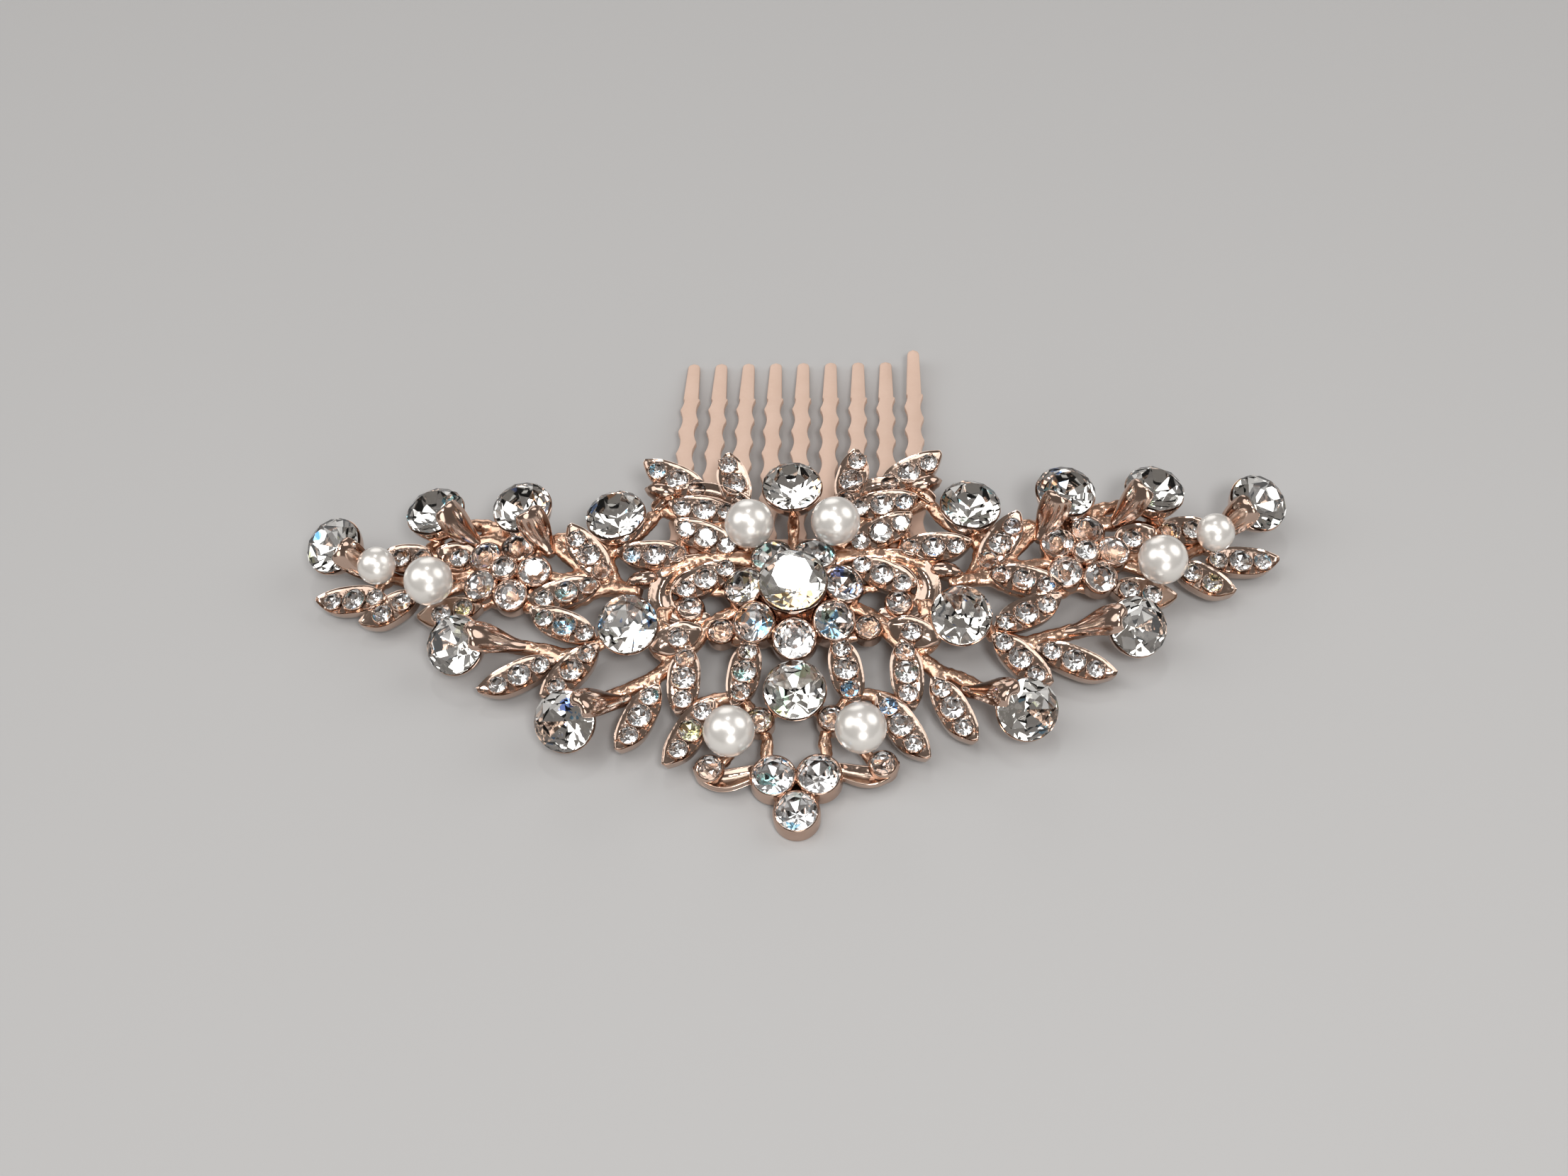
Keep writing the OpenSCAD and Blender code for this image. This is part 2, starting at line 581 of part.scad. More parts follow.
module comb() {
    translate([bar_shift, front_y + bar_back * cos(rest_tilt), bar_z])
        rotate([-comb_slope, 0, -comb_turn]) translate([0, 0, -comb_t / 2]) linear_extrude(comb_t) {
            translate([-(teeth_w + tooth_w) / 2, -bar_w / 2]) square([teeth_w + tooth_w, bar_w]);
            for (i = [0:tooth_count - 1])
                translate([i * tooth_pitch - teeth_w / 2, bar_w / 2]) comb_tooth();
        }
}

// The casting and the comb are soldered together into one piece of metal
module casting() {
    color("#c98f78") {
        laid() difference() {
            union() {
                arched_stems();
                for (side = [-1, 1]) side_solids(side);
                middle_solids();
            }
            for (side = [-1, 1]) side_hollows(side);
            middle_hollows();
        }
        comb();
    }
}

module bud_stone(side, bud) {
    color("#dfe6e8") laid() bud_frame(side, bud) cut_stone(bud_stone_d, BIG_SIDES);
}
module centre_stone() {
    color("#e8f0f0") laid() bud_frame(1, CENTRE_BUD) cut_stone(centre_stone_d, BIG_SIDES);
}
module petal_stone(i) {
    color("#dfe6e8") laid() petal_frame(i) cut_stone(petal_stone_d, PETAL_SIDES);
}
module front_stone(side) {
    color("#dfe6e8") laid() trio_frame(side) cut_stone(petal_stone_d, PETAL_SIDES);
}
module side_flower_stones(side) {
    color("#e4eaea") laid() {
        for (i = [1:side_petal_count]) side_petal_frame(side, i) cut_stone(side_petal_d, SMALL_SIDES);
        side_flower_frame(side, side_centre_girdle) cut_stone(side_centre_d, SMALL_SIDES);
    }
}
module leaf_stones(side) {
    color("#e4eaea") laid() {
        for (leaf = LEAVES) leaf_frame(side, leaf) for (set = leaf_set(leaf))
            translate([seat_x(set), 0, leaf_top - STONE_SINK]) cut_stone(set[1], SMALL_SIDES);
        for (single = SINGLES) single_frame(side, single) cut_stone(leaf_stone_d, SMALL_SIDES);
    }
}

// A round pearl, drilled half through for its peg
module pearl(side, row) {
    d = pearl_size(row);
    color("#f1ece6") laid()
        on_sheet(pearl_place(side, row), stem_top + pearl_lift + d / 2) difference() {
            sphere(d = d);
            translate([0, 0, -d]) cylinder(h = d, d = peg_d + 2 * gap);
        }
}

casting();
centre_stone();  // stone_centre
bud_stone(1, TOP_BUD);  // stone_top
bud_stone(1, BELOW_BUD);  // stone_below
for (i = [0:len(BUDS) - 1]) {
    bud_stone(-1, BUDS[i]);
    bud_stone(1, BUDS[i]);
}
for (i = [0:petal_count - 1])
    petal_stone(i);
front_stone(-1);  // front_stone_left
front_stone(1);  // front_stone_right
front_stone(0);  // front_stone_tip
pearl(-1, PEARLS[0]);  // pearl_back_left
pearl(-1, PEARLS[1]);  // pearl_outer_left
pearl(-1, PEARLS[2]);  // pearl_small_left
pearl(-1, PEARLS[3]);  // pearl_front_left
pearl(1, PEARLS[0]);  // pearl_back_right
pearl(1, PEARLS[1]);  // pearl_outer_right
pearl(1, PEARLS[2]);  // pearl_small_right
pearl(1, PEARLS[3]);  // pearl_front_right
side_flower_stones(-1);  // side_flower_stones_left
side_flower_stones(1);  // side_flower_stones_right
leaf_stones(-1);  // leaf_stones_left
leaf_stones(1);  // leaf_stones_right
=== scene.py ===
# %% [markdown]
# This lesson dresses a packed hair comb: a cast spray of leaves, buds and flowers with cut stones
# and pearls, soldered to a comb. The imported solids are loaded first, and every piece that is made
# here stands where a solid stands. All modelling is done in millimetres, and each piece is turned
# to metres when it is put in its place.

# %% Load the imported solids
import math

import bmesh
import bpy
from mathutils import Matrix, Vector, noise


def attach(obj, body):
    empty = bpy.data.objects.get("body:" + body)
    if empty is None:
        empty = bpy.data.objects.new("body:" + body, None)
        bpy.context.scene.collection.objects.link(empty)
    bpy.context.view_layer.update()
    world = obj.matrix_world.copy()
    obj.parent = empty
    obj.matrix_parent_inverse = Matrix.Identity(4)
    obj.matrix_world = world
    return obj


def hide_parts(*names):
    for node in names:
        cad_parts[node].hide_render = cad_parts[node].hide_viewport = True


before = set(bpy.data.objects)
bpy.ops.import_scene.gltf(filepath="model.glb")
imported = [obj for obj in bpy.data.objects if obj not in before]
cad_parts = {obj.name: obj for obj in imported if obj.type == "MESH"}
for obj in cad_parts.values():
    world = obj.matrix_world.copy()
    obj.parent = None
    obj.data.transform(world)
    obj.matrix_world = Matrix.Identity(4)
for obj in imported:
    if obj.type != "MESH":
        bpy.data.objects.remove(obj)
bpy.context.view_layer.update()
print("solids loaded:", len(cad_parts))

# %% [markdown]
# The spray is a flat arch that lies tilted: it rests on its front cup and on the tips of the
# comb's teeth. Pieces could be placed one by one with typed coordinates, but the arch would then
# be in every number. So a place is given as a share of the half span and of the depth, as in the
# part's source, and a small set of matrices puts a piece on the arch, square to it.

# %% Where the spray lies
HALF_SPAN = 60
DEPTH = 52
ARCH_RADIUS = 400
REST_TILT = 8
WING_BEND = 1.5
BEND_START = 0.72
FRONT_Y = -37.973
FRONT_Z = -0.1026
MM = 0.001
SIDES = (-1, 1)
HANDS = ((-1, "left"), (1, "right"))


def turn(axis, degrees):
    return Matrix.Rotation(math.radians(degrees), 4, axis)


def shift(x, y, z):
    return Matrix.Translation((x, y, z))


LAID = shift(0, FRONT_Y, FRONT_Z) @ turn("X", REST_TILT)


def place(side, out, back):
    x = side * out / 100 * HALF_SPAN
    past = max(0, abs(x) / HALF_SPAN - BEND_START) / (1 - BEND_START)
    return x, back / 100 * DEPTH + math.copysign(WING_BEND * past, x)


def on_sheet(at, lift=0):
    slope = turn("Y", math.degrees(math.asin(at[0] / ARCH_RADIUS)))
    return LAID @ shift(at[0], at[1], -at[0] ** 2 / (2 * ARCH_RADIUS)) @ slope @ shift(0, 0, lift)


def turned(side, angle):
    return angle if side > 0 else 180 - angle


print("the arch falls", round(HALF_SPAN ** 2 / (2 * ARCH_RADIUS), 2), "mm towards its ends")

# %% [markdown]
# The camera comes before the pieces. It looks down at the comb from the front, three degrees to
# one side, and is rolled a little, as a camera held by hand is. A tracking constraint could aim it,
# but it couldn't roll it, so its three axes are worked out from where it looks, its distance and
# its angles, and written as a matrix.

# %% Camera
LOOK_AT = Vector((-1.32, -3.393, 3.392))
DISTANCE = 251.2
ELEVATION = math.radians(52)
SIDEWAYS = math.radians(-3.06)
ROLL = math.radians(-4)
# Focal length as a share of the picture's width
FOCAL_SHARE = 2900 / 2212
SENSOR = 36

towards = Vector((
    -math.sin(SIDEWAYS) * math.cos(ELEVATION),
    -math.cos(SIDEWAYS) * math.cos(ELEVATION),
    math.sin(ELEVATION),
))
level = Vector((0, 0, 1)).cross(towards).normalized()
upright = towards.cross(level)
right = level * math.cos(ROLL) + upright * math.sin(ROLL)
upwards = upright * math.cos(ROLL) - level * math.sin(ROLL)

camera_data = bpy.data.cameras.new("camera")
camera_data.sensor_width = SENSOR
camera_data.lens = FOCAL_SHARE * SENSOR
camera_data.clip_start = 0.01
camera = bpy.data.objects.new("camera", camera_data)
bpy.context.scene.collection.objects.link(camera)
camera.matrix_world = Matrix.Translation((LOOK_AT + towards * DISTANCE) * MM) @ Matrix(
    (right, upwards, towards)
).transposed().to_4x4()
bpy.context.scene.camera = camera
print("camera at", [round(x, 3) for x in camera.location])

# %% [markdown]
# Colours are written as sRGB hex values, as a paint chart gives them, and one function turns them
# to the linear values that Blender's shaders want. One more adds a node with its settings.

# %% Colours and nodes
def colour(hex_value):
    parts = [int(hex_value[i:i + 2], 16) / 255 for i in (1, 3, 5)]
    linear = [c / 12.92 if c <= 0.04045 else ((c + 0.055) / 1.055) ** 2.4 for c in parts]
    return (*linear, 1)


def add(tree, kind, values=None, links=None, **settings):
    node = tree.nodes.new(kind)
    for name, value in settings.items():
        setattr(node, name, value)
    for name, value in (values or {}).items():
        node.inputs[name].default_value = value
    for name, socket in (links or {}).items():
        tree.links.new(socket, node.inputs[name])
    return node


def new_material(name):
    material = bpy.data.materials.new(name)
    material.use_nodes = True
    tree = material.node_tree
    return material, tree, tree.nodes["Principled BSDF"]


# %% [markdown]
# The casting is a zinc alloy, polished and plated with rose gold: to the eye, a pale warm mirror
# that is never quite even. One flat metal colour would look like plastic. So two tints drift into
# each other in patches of about four millimetres, and soft waves that the polish left, from half a
# millimetre to two and a half across, drive the roughness and a low bump. The stems were hard to
# reach with the polishing wheel, so they are grainier, and the cups are the smoothest. The comb has
# a satin plate under a thin lacquer, so only a part of it shines like bare metal.

# %% Rose gold plate, polished
PATCH_SCALE = 260


def plated_metal(name, tint, deep_tint, roughness, wave_mm, wave_height, detail):
    material, tree, shader = new_material(name)
    where = add(tree, "ShaderNodeTexCoord").outputs["Object"]
    waves = add(tree, "ShaderNodeTexNoise", {"Scale": 1000 / wave_mm, "Detail": detail},
                {"Vector": where})
    patches = add(tree, "ShaderNodeTexNoise", {"Scale": PATCH_SCALE, "Detail": 2}, {"Vector": where})
    mix = add(tree, "ShaderNodeMixRGB", {"Color1": colour(deep_tint), "Color2": colour(tint)},
              {"Fac": patches.outputs["Fac"]})
    tree.links.new(mix.outputs["Color"], shader.inputs["Base Color"])
    rough = add(tree, "ShaderNodeMapRange", {"To Min": roughness * 0.7, "To Max": roughness * 1.4},
                {"Value": waves.outputs["Fac"]})
    tree.links.new(rough.outputs["Result"], shader.inputs["Roughness"])
    bump = add(tree, "ShaderNodeBump", {"Strength": 1, "Distance": wave_height * MM},
               {"Height": waves.outputs["Fac"]})
    tree.links.new(bump.outputs["Normal"], shader.inputs["Normal"])
    shader.inputs["Metallic"].default_value = 1
    return material


LEAF_GOLD = plated_metal("rose_gold_polished", "#e0c8b8", "#b59a89", 0.12, 0.9, 0.05, 1)
STEM_GOLD = plated_metal("rose_gold_grained", "#ecc8af", "#d3a68b", 0.22, 0.6, 0.05, 3)
CUP_GOLD = plated_metal("rose_gold_cups", "#dfc5b5", "#b89a88", 0.1, 2.4, 0.003, 0)
COMB_GOLD = plated_metal("rose_gold_satin", "#e7cab8", "#dcbda9", 0.5, 0.5, 0.003, 2)
COMB_GOLD.node_tree.nodes["Principled BSDF"].inputs["Metallic"].default_value = 0.35

# %% [markdown]
# A rhinestone is cut lead glass whose back has a mirror foil. A shiny pale metal all over would be
# quicker, but it would show no depth. So its crown is a clear glass shader with an index of 1.56,
# and its back facets are a bright metal, seen through the glass: light goes in, is thrown from
# facet to facet by the foil, and comes out in flashes. A few cells of the foil, about a millimetre
# wide, are tinted, because cut glass splits light into colours. The foil of the petals' stones and
# the small ones is softer, so they look whiter.

# %% Cut glass and its foil
GLASS_INDEX = 1.56
FIRE_SCALE = 900

CLEAR_GLASS, _, shader = new_material("cut_glass")
shader.inputs["Base Color"].default_value = colour("#fefefe")
shader.inputs["Transmission Weight"].default_value = 1
shader.inputs["Roughness"].default_value = 0
shader.inputs["IOR"].default_value = GLASS_INDEX


def foil(name, tint, roughness):
    material, tree, shader = new_material(name)
    where = add(tree, "ShaderNodeTexCoord").outputs["Object"]
    cells = add(tree, "ShaderNodeTexVoronoi", {"Scale": FIRE_SCALE}, {"Vector": where})
    parts = add(tree, "ShaderNodeSeparateColor", None, {"Color": cells.outputs["Color"]})
    fire = add(tree, "ShaderNodeValToRGB", None, {"Fac": parts.outputs["Blue"]})
    fire.color_ramp.elements[0].color = colour("#5f8dff")
    fire.color_ramp.elements[1].color = colour("#ffb06a")
    fire.color_ramp.elements.new(0.45).color = colour("#7fe4f2")
    fire.color_ramp.elements.new(0.7).color = colour("#fff0a8")
    chance = add(tree, "ShaderNodeMapRange", {"From Min": 0.92, "From Max": 0.94, "To Max": 0.8},
                 {"Value": parts.outputs["Green"]})
    mix = add(tree, "ShaderNodeMixRGB", {"Color1": colour(tint)},
              {"Fac": chance.outputs["Result"], "Color2": fire.outputs["Color"]})
    tree.links.new(mix.outputs["Color"], shader.inputs["Base Color"])
    shader.inputs["Metallic"].default_value = 1
    shader.inputs["Roughness"].default_value = roughness
    return material


FOIL = foil("mirror_foil", "#fffefb", 0.04)
SOFT_FOIL = foil("soft_foil", "#ffffff", 0.08)

# %% [markdown]
# The pearls are glass beads dipped in pearl lacquer: a soft gloss over a milky, slightly clouded
# body. Light scattered under the skin could make them milky, but it takes the lustre away. A body
# that is half a metal, under a clear coat, gives a soft highlight with a sharper one on it. The
# glue on their pegs is a clear resin that has gone whitish, so light does scatter in it.

# %% Pearl lacquer and glue
PEARL, tree, shader = new_material("pearl_lacquer")
where = add(tree, "ShaderNodeTexCoord").outputs["Object"]
cloud = add(tree, "ShaderNodeTexNoise", {"Scale": 350, "Detail": 2}, {"Vector": where})
mix = add(tree, "ShaderNodeMixRGB", {"Color1": colour("#f3f0eb"), "Color2": colour("#e8e3dc")},
          {"Fac": cloud.outputs["Fac"]})
tree.links.new(mix.outputs["Color"], shader.inputs["Base Color"])
shader.inputs["Metallic"].default_value = 0.5
shader.inputs["Roughness"].default_value = 0.27
shader.inputs["Coat Weight"].default_value = 0.7
shader.inputs["Coat Roughness"].default_value = 0.14

GLUE, _, shader = new_material("glue")
shader.inputs["Base Color"].default_value = colour("#e9dfd3")
shader.inputs["Roughness"].default_value = 0.3
shader.inputs["Subsurface Weight"].default_value = 0.6
shader.inputs["Subsurface Scale"].default_value = 0.6 * MM

# %% [markdown]
# Small helpers for modelling. Everything is deselected before a primitive is added, because an
# operator acts on all that is selected, and points are then chosen by where they are.
# What repeats is modelled once: a finished pattern is kept as a mesh that is copied to many places.

# %% Modelling helpers
def begin(name):
    """The primitive just added, in edit mode."""
    piece = bpy.context.object
    piece.name = name
    bpy.ops.object.mode_set(mode="EDIT")
    return piece


def deselect_all():
    if bpy.context.object and bpy.context.object.mode != "OBJECT":
        bpy.ops.object.mode_set(mode="OBJECT")
    bpy.ops.object.select_all(action="DESELECT")


def pick(piece, test):
    """Selects the points that pass the test."""
    bpy.ops.mesh.select_mode(type="VERT")
    bpy.ops.mesh.select_all(action="DESELECT")
    edit = bmesh.from_edit_mesh(piece.data)
    for vertex in edit.verts:
        if test(vertex.co):
            vertex.select_set(True)
    edit.select_flush_mode()
    bmesh.update_edit_mesh(piece.data)


def move(x=0, y=0, z=0):
    bpy.ops.transform.translate(value=(x, y, z))


def resize(x=1, y=1, z=1):
    bpy.ops.transform.resize(value=(x, y, z))


def extrude(x=0, y=0, z=0):
    bpy.ops.mesh.extrude_region_move(TRANSFORM_OT_translate={"value": (x, y, z)})


def put_in_scene(name, data):
    """A mesh or curve as the one selected object."""
    deselect_all()
    piece = bpy.data.objects.new(name, data)
    bpy.context.scene.collection.objects.link(piece)
    bpy.context.view_layer.objects.active = piece
    piece.select_set(True)
    return piece


def modify(piece, kind, **settings):
    bpy.ops.object.mode_set(mode="OBJECT")
    modifier = piece.modifiers.new(kind.lower(), kind)
    for name, value in settings.items():
        setattr(modifier, name, value)
    bpy.ops.object.modifier_apply(modifier=modifier.name)


def keep_pattern(piece, *materials, smooth=40):
    """Takes the finished mesh out of the scene, as a pattern to copy."""
    bpy.ops.object.mode_set(mode="OBJECT")
    bpy.ops.object.shade_smooth_by_angle(angle=math.radians(smooth))
    mesh = piece.data
    mesh.materials.clear()
    for material in materials:
        mesh.materials.append(material)
    mesh.use_fake_user = True
    bpy.data.objects.remove(piece)
    return mesh


def lathe(name, profile, sides, *materials, smooth=40):
    """A turned form: a disc is extruded and resized from one (radius, height) to the next."""
    deselect_all()
    radius, height = profile[0]
    bpy.ops.mesh.primitive_circle_add(vertices=sides, radius=radius, fill_type="NGON",
                                      location=(0, 0, height))
    piece = begin(name)
    bpy.ops.mesh.select_all(action="SELECT")
    bpy.ops.mesh.flip_normals()
    for next_radius, next_height in profile[1:]:
        extrude(z=next_height - height)
        resize(next_radius / radius, next_radius / radius)
        radius, height = next_radius, next_height
    bpy.ops.mesh.select_all(action="SELECT")
    bpy.ops.mesh.normals_make_consistent(inside=False)
    bpy.ops.object.mode_set(mode="OBJECT")
    piece.data.transform(piece.matrix_world)
    piece.matrix_world = Matrix.Identity(4)
    return keep_pattern(piece, *materials, smooth=smooth)


def join_copies(name, copies, scale=1):
    """One mesh from placed copies of patterns, each (pattern, matrix in millimetres)."""
    joined = bmesh.new()
    for pattern, matrix in copies:
        copy = pattern.copy()
        copy.transform(Matrix.Scale(scale, 4) @ matrix)
        if matrix.determinant() < 0:
            copy.flip_normals()
        joined.from_mesh(copy)
        bpy.data.meshes.remove(copy)
    mesh = bpy.data.meshes.new(name)
    joined.to_mesh(mesh)
    joined.free()
    return mesh


def gather(name, copies, replaced=()):
    """A finished piece from placed copies: in metres, with its body and replaced solids."""
    mesh = join_copies(name, copies, MM)
    for material in copies[0][0].materials:
        mesh.materials.append(material)
    piece = bpy.data.objects.new(name, mesh)
    bpy.context.scene.collection.objects.link(piece)
    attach(piece, "root")
    if replaced:
        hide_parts(*replaced)
    print(name, "from", len(copies), "copies,", len(mesh.polygons), "faces")
    return piece


def sized(x, y=None, z=None):
    return Matrix.Diagonal((x, x if y is None else y, x if z is None else z, 1))


MIRROR_Y = sized(1, -1, 1)

# %% [markdown]
# A leaf of the spray is an almond with a pointed tip that swings a little to one side. Its face is
# hollowed out, so that a narrow bright rim stands round it. It could be cut from a curve, but a
# curve's cap has no inner points to sink. So the almond starts as a grid whose columns are resized
# one by one; its face is inset and sunk, and its edge is extruded down.

# %% Leaf pattern
LEAF_L = 9.4
LEAF_W = 4.0
LEAF_TOP = 1.9
LEAF_UNDER = 0.3
COLUMNS = 14
TIP_SHARE = 0.16
TIP_SWING = 0.42
FOOT_SWING = 0.25
TIP_LIFT = 0.25
RIM_W = 0.26
HOLLOW = 0.22
GROOVE = 0.16
EDGE_H = 0.5

deselect_all()
bpy.ops.mesh.primitive_grid_add(x_subdivisions=COLUMNS, y_subdivisions=4, size=2)
leaf = begin("leaf")
bpy.ops.mesh.select_all(action="SELECT")
resize(LEAF_L / 2, LEAF_W / 2)
move(z=LEAF_TOP)
for column in range(COLUMNS + 1):
    x = (column / COLUMNS * 2 - 1) * LEAF_L / 2
    share = abs(x) / (LEAF_L / 2)
    pick(leaf, lambda p: abs(p.x - x) < 0.05)
    resize(y=max(TIP_SHARE, (1 - share ** 2.8) ** 0.8))
    to_tip = max(0, x / (LEAF_L / 2)) ** 3
    to_foot = max(0, -x / (LEAF_L / 2)) ** 3
    move(y=TIP_SWING * to_tip - FOOT_SWING * to_foot, z=TIP_LIFT * to_tip)
bpy.ops.mesh.select_all(action="SELECT")
bpy.ops.mesh.inset(thickness=RIM_W, depth=0)
move(z=-HOLLOW)
pick(leaf, lambda p: abs(p.y) < 0.75 and abs(p.x) < 3.6 and p.z < LEAF_TOP)
move(z=-GROOVE)
bpy.ops.mesh.select_mode(type="EDGE")
bpy.ops.mesh.select_all(action="DESELECT")
bpy.ops.mesh.select_non_manifold()
extrude(z=-EDGE_H)
extrude(z=LEAF_UNDER - LEAF_TOP + EDGE_H)
resize(0.94, 0.86)
bpy.ops.mesh.edge_face_add()
bpy.ops.mesh.select_all(action="SELECT")
bpy.ops.mesh.normals_make_consistent(inside=False)
modify(leaf, "BEVEL", width=0.07, segments=2, limit_method="ANGLE", angle_limit=math.radians(45))
modify(leaf, "SUBSURF", levels=1, render_levels=1)
LEAF = keep_pattern(leaf, LEAF_GOLD, smooth=60)
print("leaf pattern:", len(LEAF.polygons), "faces")

# %% [markdown]
# Each stone has a flat table, a ring of crown facets and a pointed back of eight. It could be typed
# as a list of corners, but here it is cut as a gem cutter cuts it: a round blank is bisected by one
# flat after another, each a plane through three points of the finished stone, so its facets are
# true planes. The crown of the larger ones gets main, star and girdle facets, and that of the small
# ones, of which there are very many, the mains and stars alone. All sizes are shares of the width.

# %% Cut stone patterns
GIRDLE = 0.06
CROWN = 0.16
TABLE = 0.56
PAVILION = 0.36
RIDGE_R = 0.4346
RIDGE_H = 0.14
INSIDE = Vector((0, 0, 0.02))


def rim_point(radius, degrees, height):
    angle = math.radians(degrees)
    return Vector((radius * math.cos(angle), radius * math.sin(angle), height))


def cut_flat(piece, a, b, c):
    """Cuts away what lies outside the plane through three points."""
    normal = (b - a).cross(c - a).normalized()
    if normal.dot((a + b + c) / 3 - INSIDE) < 0:
        normal = -normal
    bpy.ops.mesh.select_all(action="SELECT")
    bpy.ops.mesh.bisect(plane_co=a, plane_no=normal, use_fill=True, clear_outer=True)


def cut_stone(name, blank_sides, girdle_facets, back):
    deselect_all()
    top = GIRDLE + CROWN
    bpy.ops.mesh.primitive_cylinder_add(vertices=blank_sides, radius=0.5, depth=top + PAVILION,
                                        location=(0, 0, (top - PAVILION) / 2))
    piece = bpy.context.object
    bpy.ops.object.transform_apply(location=True)
    piece = begin(name)
    corner = TABLE / 2 / math.cos(math.radians(22.5))
    for step in range(8):
        main = 45 * step
        cut_flat(piece, rim_point(corner, main, top), rim_point(0.5, main, GIRDLE),
                 rim_point(corner, main, top) + Vector((0, 0, 1)).cross(rim_point(1, main, 0)))
        cut_flat(piece, rim_point(corner, main, top), rim_point(corner, main + 45, top),
                 rim_point(RIDGE_R, main + 22.5, RIDGE_H))
        if girdle_facets:
            for hand in (-1, 1):
                side = main + hand * 22.5
                cut_flat(piece, rim_point(0.5, main, GIRDLE), rim_point(0.5, side, GIRDLE),
                         rim_point(RIDGE_R, side, RIDGE_H))
        low = Vector((0, 0, -PAVILION))
        cut_flat(piece, low, rim_point(0.5, main, 0),
                 low + Vector((0, 0, 1)).cross(rim_point(1, main, 0)))
    bpy.ops.mesh.select_all(action="SELECT")
    bpy.ops.mesh.remove_doubles(threshold=0.002)
    bpy.ops.mesh.dissolve_limited(angle_limit=math.radians(1))
    bpy.ops.mesh.normals_make_consistent(inside=False)
    bpy.ops.object.mode_set(mode="OBJECT")
    mesh = keep_pattern(piece, CLEAR_GLASS, back, smooth=1)
    for face in mesh.polygons:
        face.use_smooth = False
        face.material_index = 1 if face.center.z < -0.005 and face.normal.z < -0.2 else 0
    print(name, len(mesh.polygons), "facets")
    return mesh


BIG_STONE = cut_stone("big_stone", 32, True, FOIL)
PETAL_STONE = cut_stone("petal_stone", 32, True, SOFT_FOIL)
SMALL_STONE = cut_stone("small_stone", 16, False, SOFT_FOIL)

# %% [markdown]
# Each wing has twenty-one leaves, with one to three small stones in a row. A copy of the pattern
# is brought to its length and then drilled for its stones with a boolean, as a setter drills a
# seat: a hole that was modelled in the pattern would stretch with the leaf. Each seat gets a thin
# lip, and four bead grains that are pushed over the stone's edge.

# %% Leaves and their stones
# Outwards and backwards in hundredths, turn, length in hundredths, rise in degrees, stones
LEAVES = [
    (12.3, 93.5, 73, 84, 10, 3), (24.8, 95.0, 24, 96, 10, 3), (18.8, 85.6, 5, 90, 4, 3),
    (18.3, 78.2, 25, 90, 4, 3), (28.8, 73.8, 0, 94, 3, 3), (18.2, 66.3, -30, 88, 2, 3),
    (42.1, 75.4, 54, 98, 5, 3), (46.5, 64.8, -16, 96, 2, 3), (46.5, 56.3, 24, 98, 2, 3),
    (55.0, 43.6, -25, 106, 0, 3), (44.4, 43.9, -50, 99, 0, 3), (30.5, 31.2, -65, 102, 0, 3),
    (21.8, 40.2, -88, 98, 0, 3), (10.0, 41.4, -81, 98, 0, 3), (20.5, 27.1, -60, 108, 0, 3),
    (23.4, 51.0, -28, 70, 0, 1), (90.8, 69.4, 0, 98, 0, 3), (82.4, 65.0, -32, 86, 0, 2),
    (69.7, 61.8, -13, 86, 0, 2), (79.6, 78.4, 5, 72, 3, 2), (69.2, 76.6, 15, 60, 2, 1),
]
LEAF_STONE_D = 2.8
END_STONE_D = 2.2
PAIR_STONE_D = 2.4
GAP = 0.1
SEAT_STEP = (LEAF_STONE_D + END_STONE_D) / 2 + GAP * 2.5
LEAF_SET_BACK = 0.25
STONE_SINK = 0.05
SEAT_EASE = 0.04
DRILL_ABOVE = 1
LIP_EASE = 0.05
LIP_RISE = 0.02
GRAIN_R = 0.2
GRAIN_OUT = 0.08
GRAIN_RISE = 0.12
GRAIN_ANGLES = (48, 132, 228, 312)
LEAF_SETS = {
    1: [(0, PAIR_STONE_D)],
    2: [(-0.5, PAIR_STONE_D), (0.5, PAIR_STONE_D)],
    3: [(-1, END_STONE_D), (0, LEAF_STONE_D), (1, END_STONE_D)],
}


def leaf_frame(side, row):
    flat = on_sheet(place(side, row[0], row[1])) @ turn("Z", turned(side, row[2]))
    return flat @ turn("Y", -row[4])


deselect_all()
bpy.ops.mesh.primitive_torus_add(major_segments=18, minor_segments=6, major_radius=1,
                                 minor_radius=0.06)
LIP = keep_pattern(begin("lip"), LEAF_GOLD, smooth=180)
deselect_all()
bpy.ops.mesh.primitive_ico_sphere_add(subdivisions=2, radius=1)
GRAIN = keep_pattern(begin("grain"), LEAF_GOLD, smooth=180)


def drilled_leaf(row):
    """A copy of the leaf at its length, with a round seat for each of its stones."""
    deselect_all()
    for step, d in LEAF_SETS[row[5]]:
        deep = STONE_SINK + PAVILION * d + GAP
        bpy.ops.mesh.primitive_cylinder_add(
            vertices=24, radius=d / 2 + SEAT_EASE, depth=deep + DRILL_ABOVE,
            location=(step * SEAT_STEP - LEAF_SET_BACK, 0, LEAF_TOP + (DRILL_ABOVE - deep) / 2))
        if step > LEAF_SETS[row[5]][0][0]:
            drill.select_set(True)
            bpy.context.view_layer.objects.active = drill
            bpy.ops.object.join()
        drill = bpy.context.object
    body = put_in_scene("leaf", LEAF.copy())
    body.data.transform(sized(row[3] / 100, 1, 1))
    modify(body, "BOOLEAN", operation="DIFFERENCE", object=drill, solver="EXACT")
    bpy.data.objects.remove(drill)
    return keep_pattern(body, LEAF_GOLD, smooth=50)


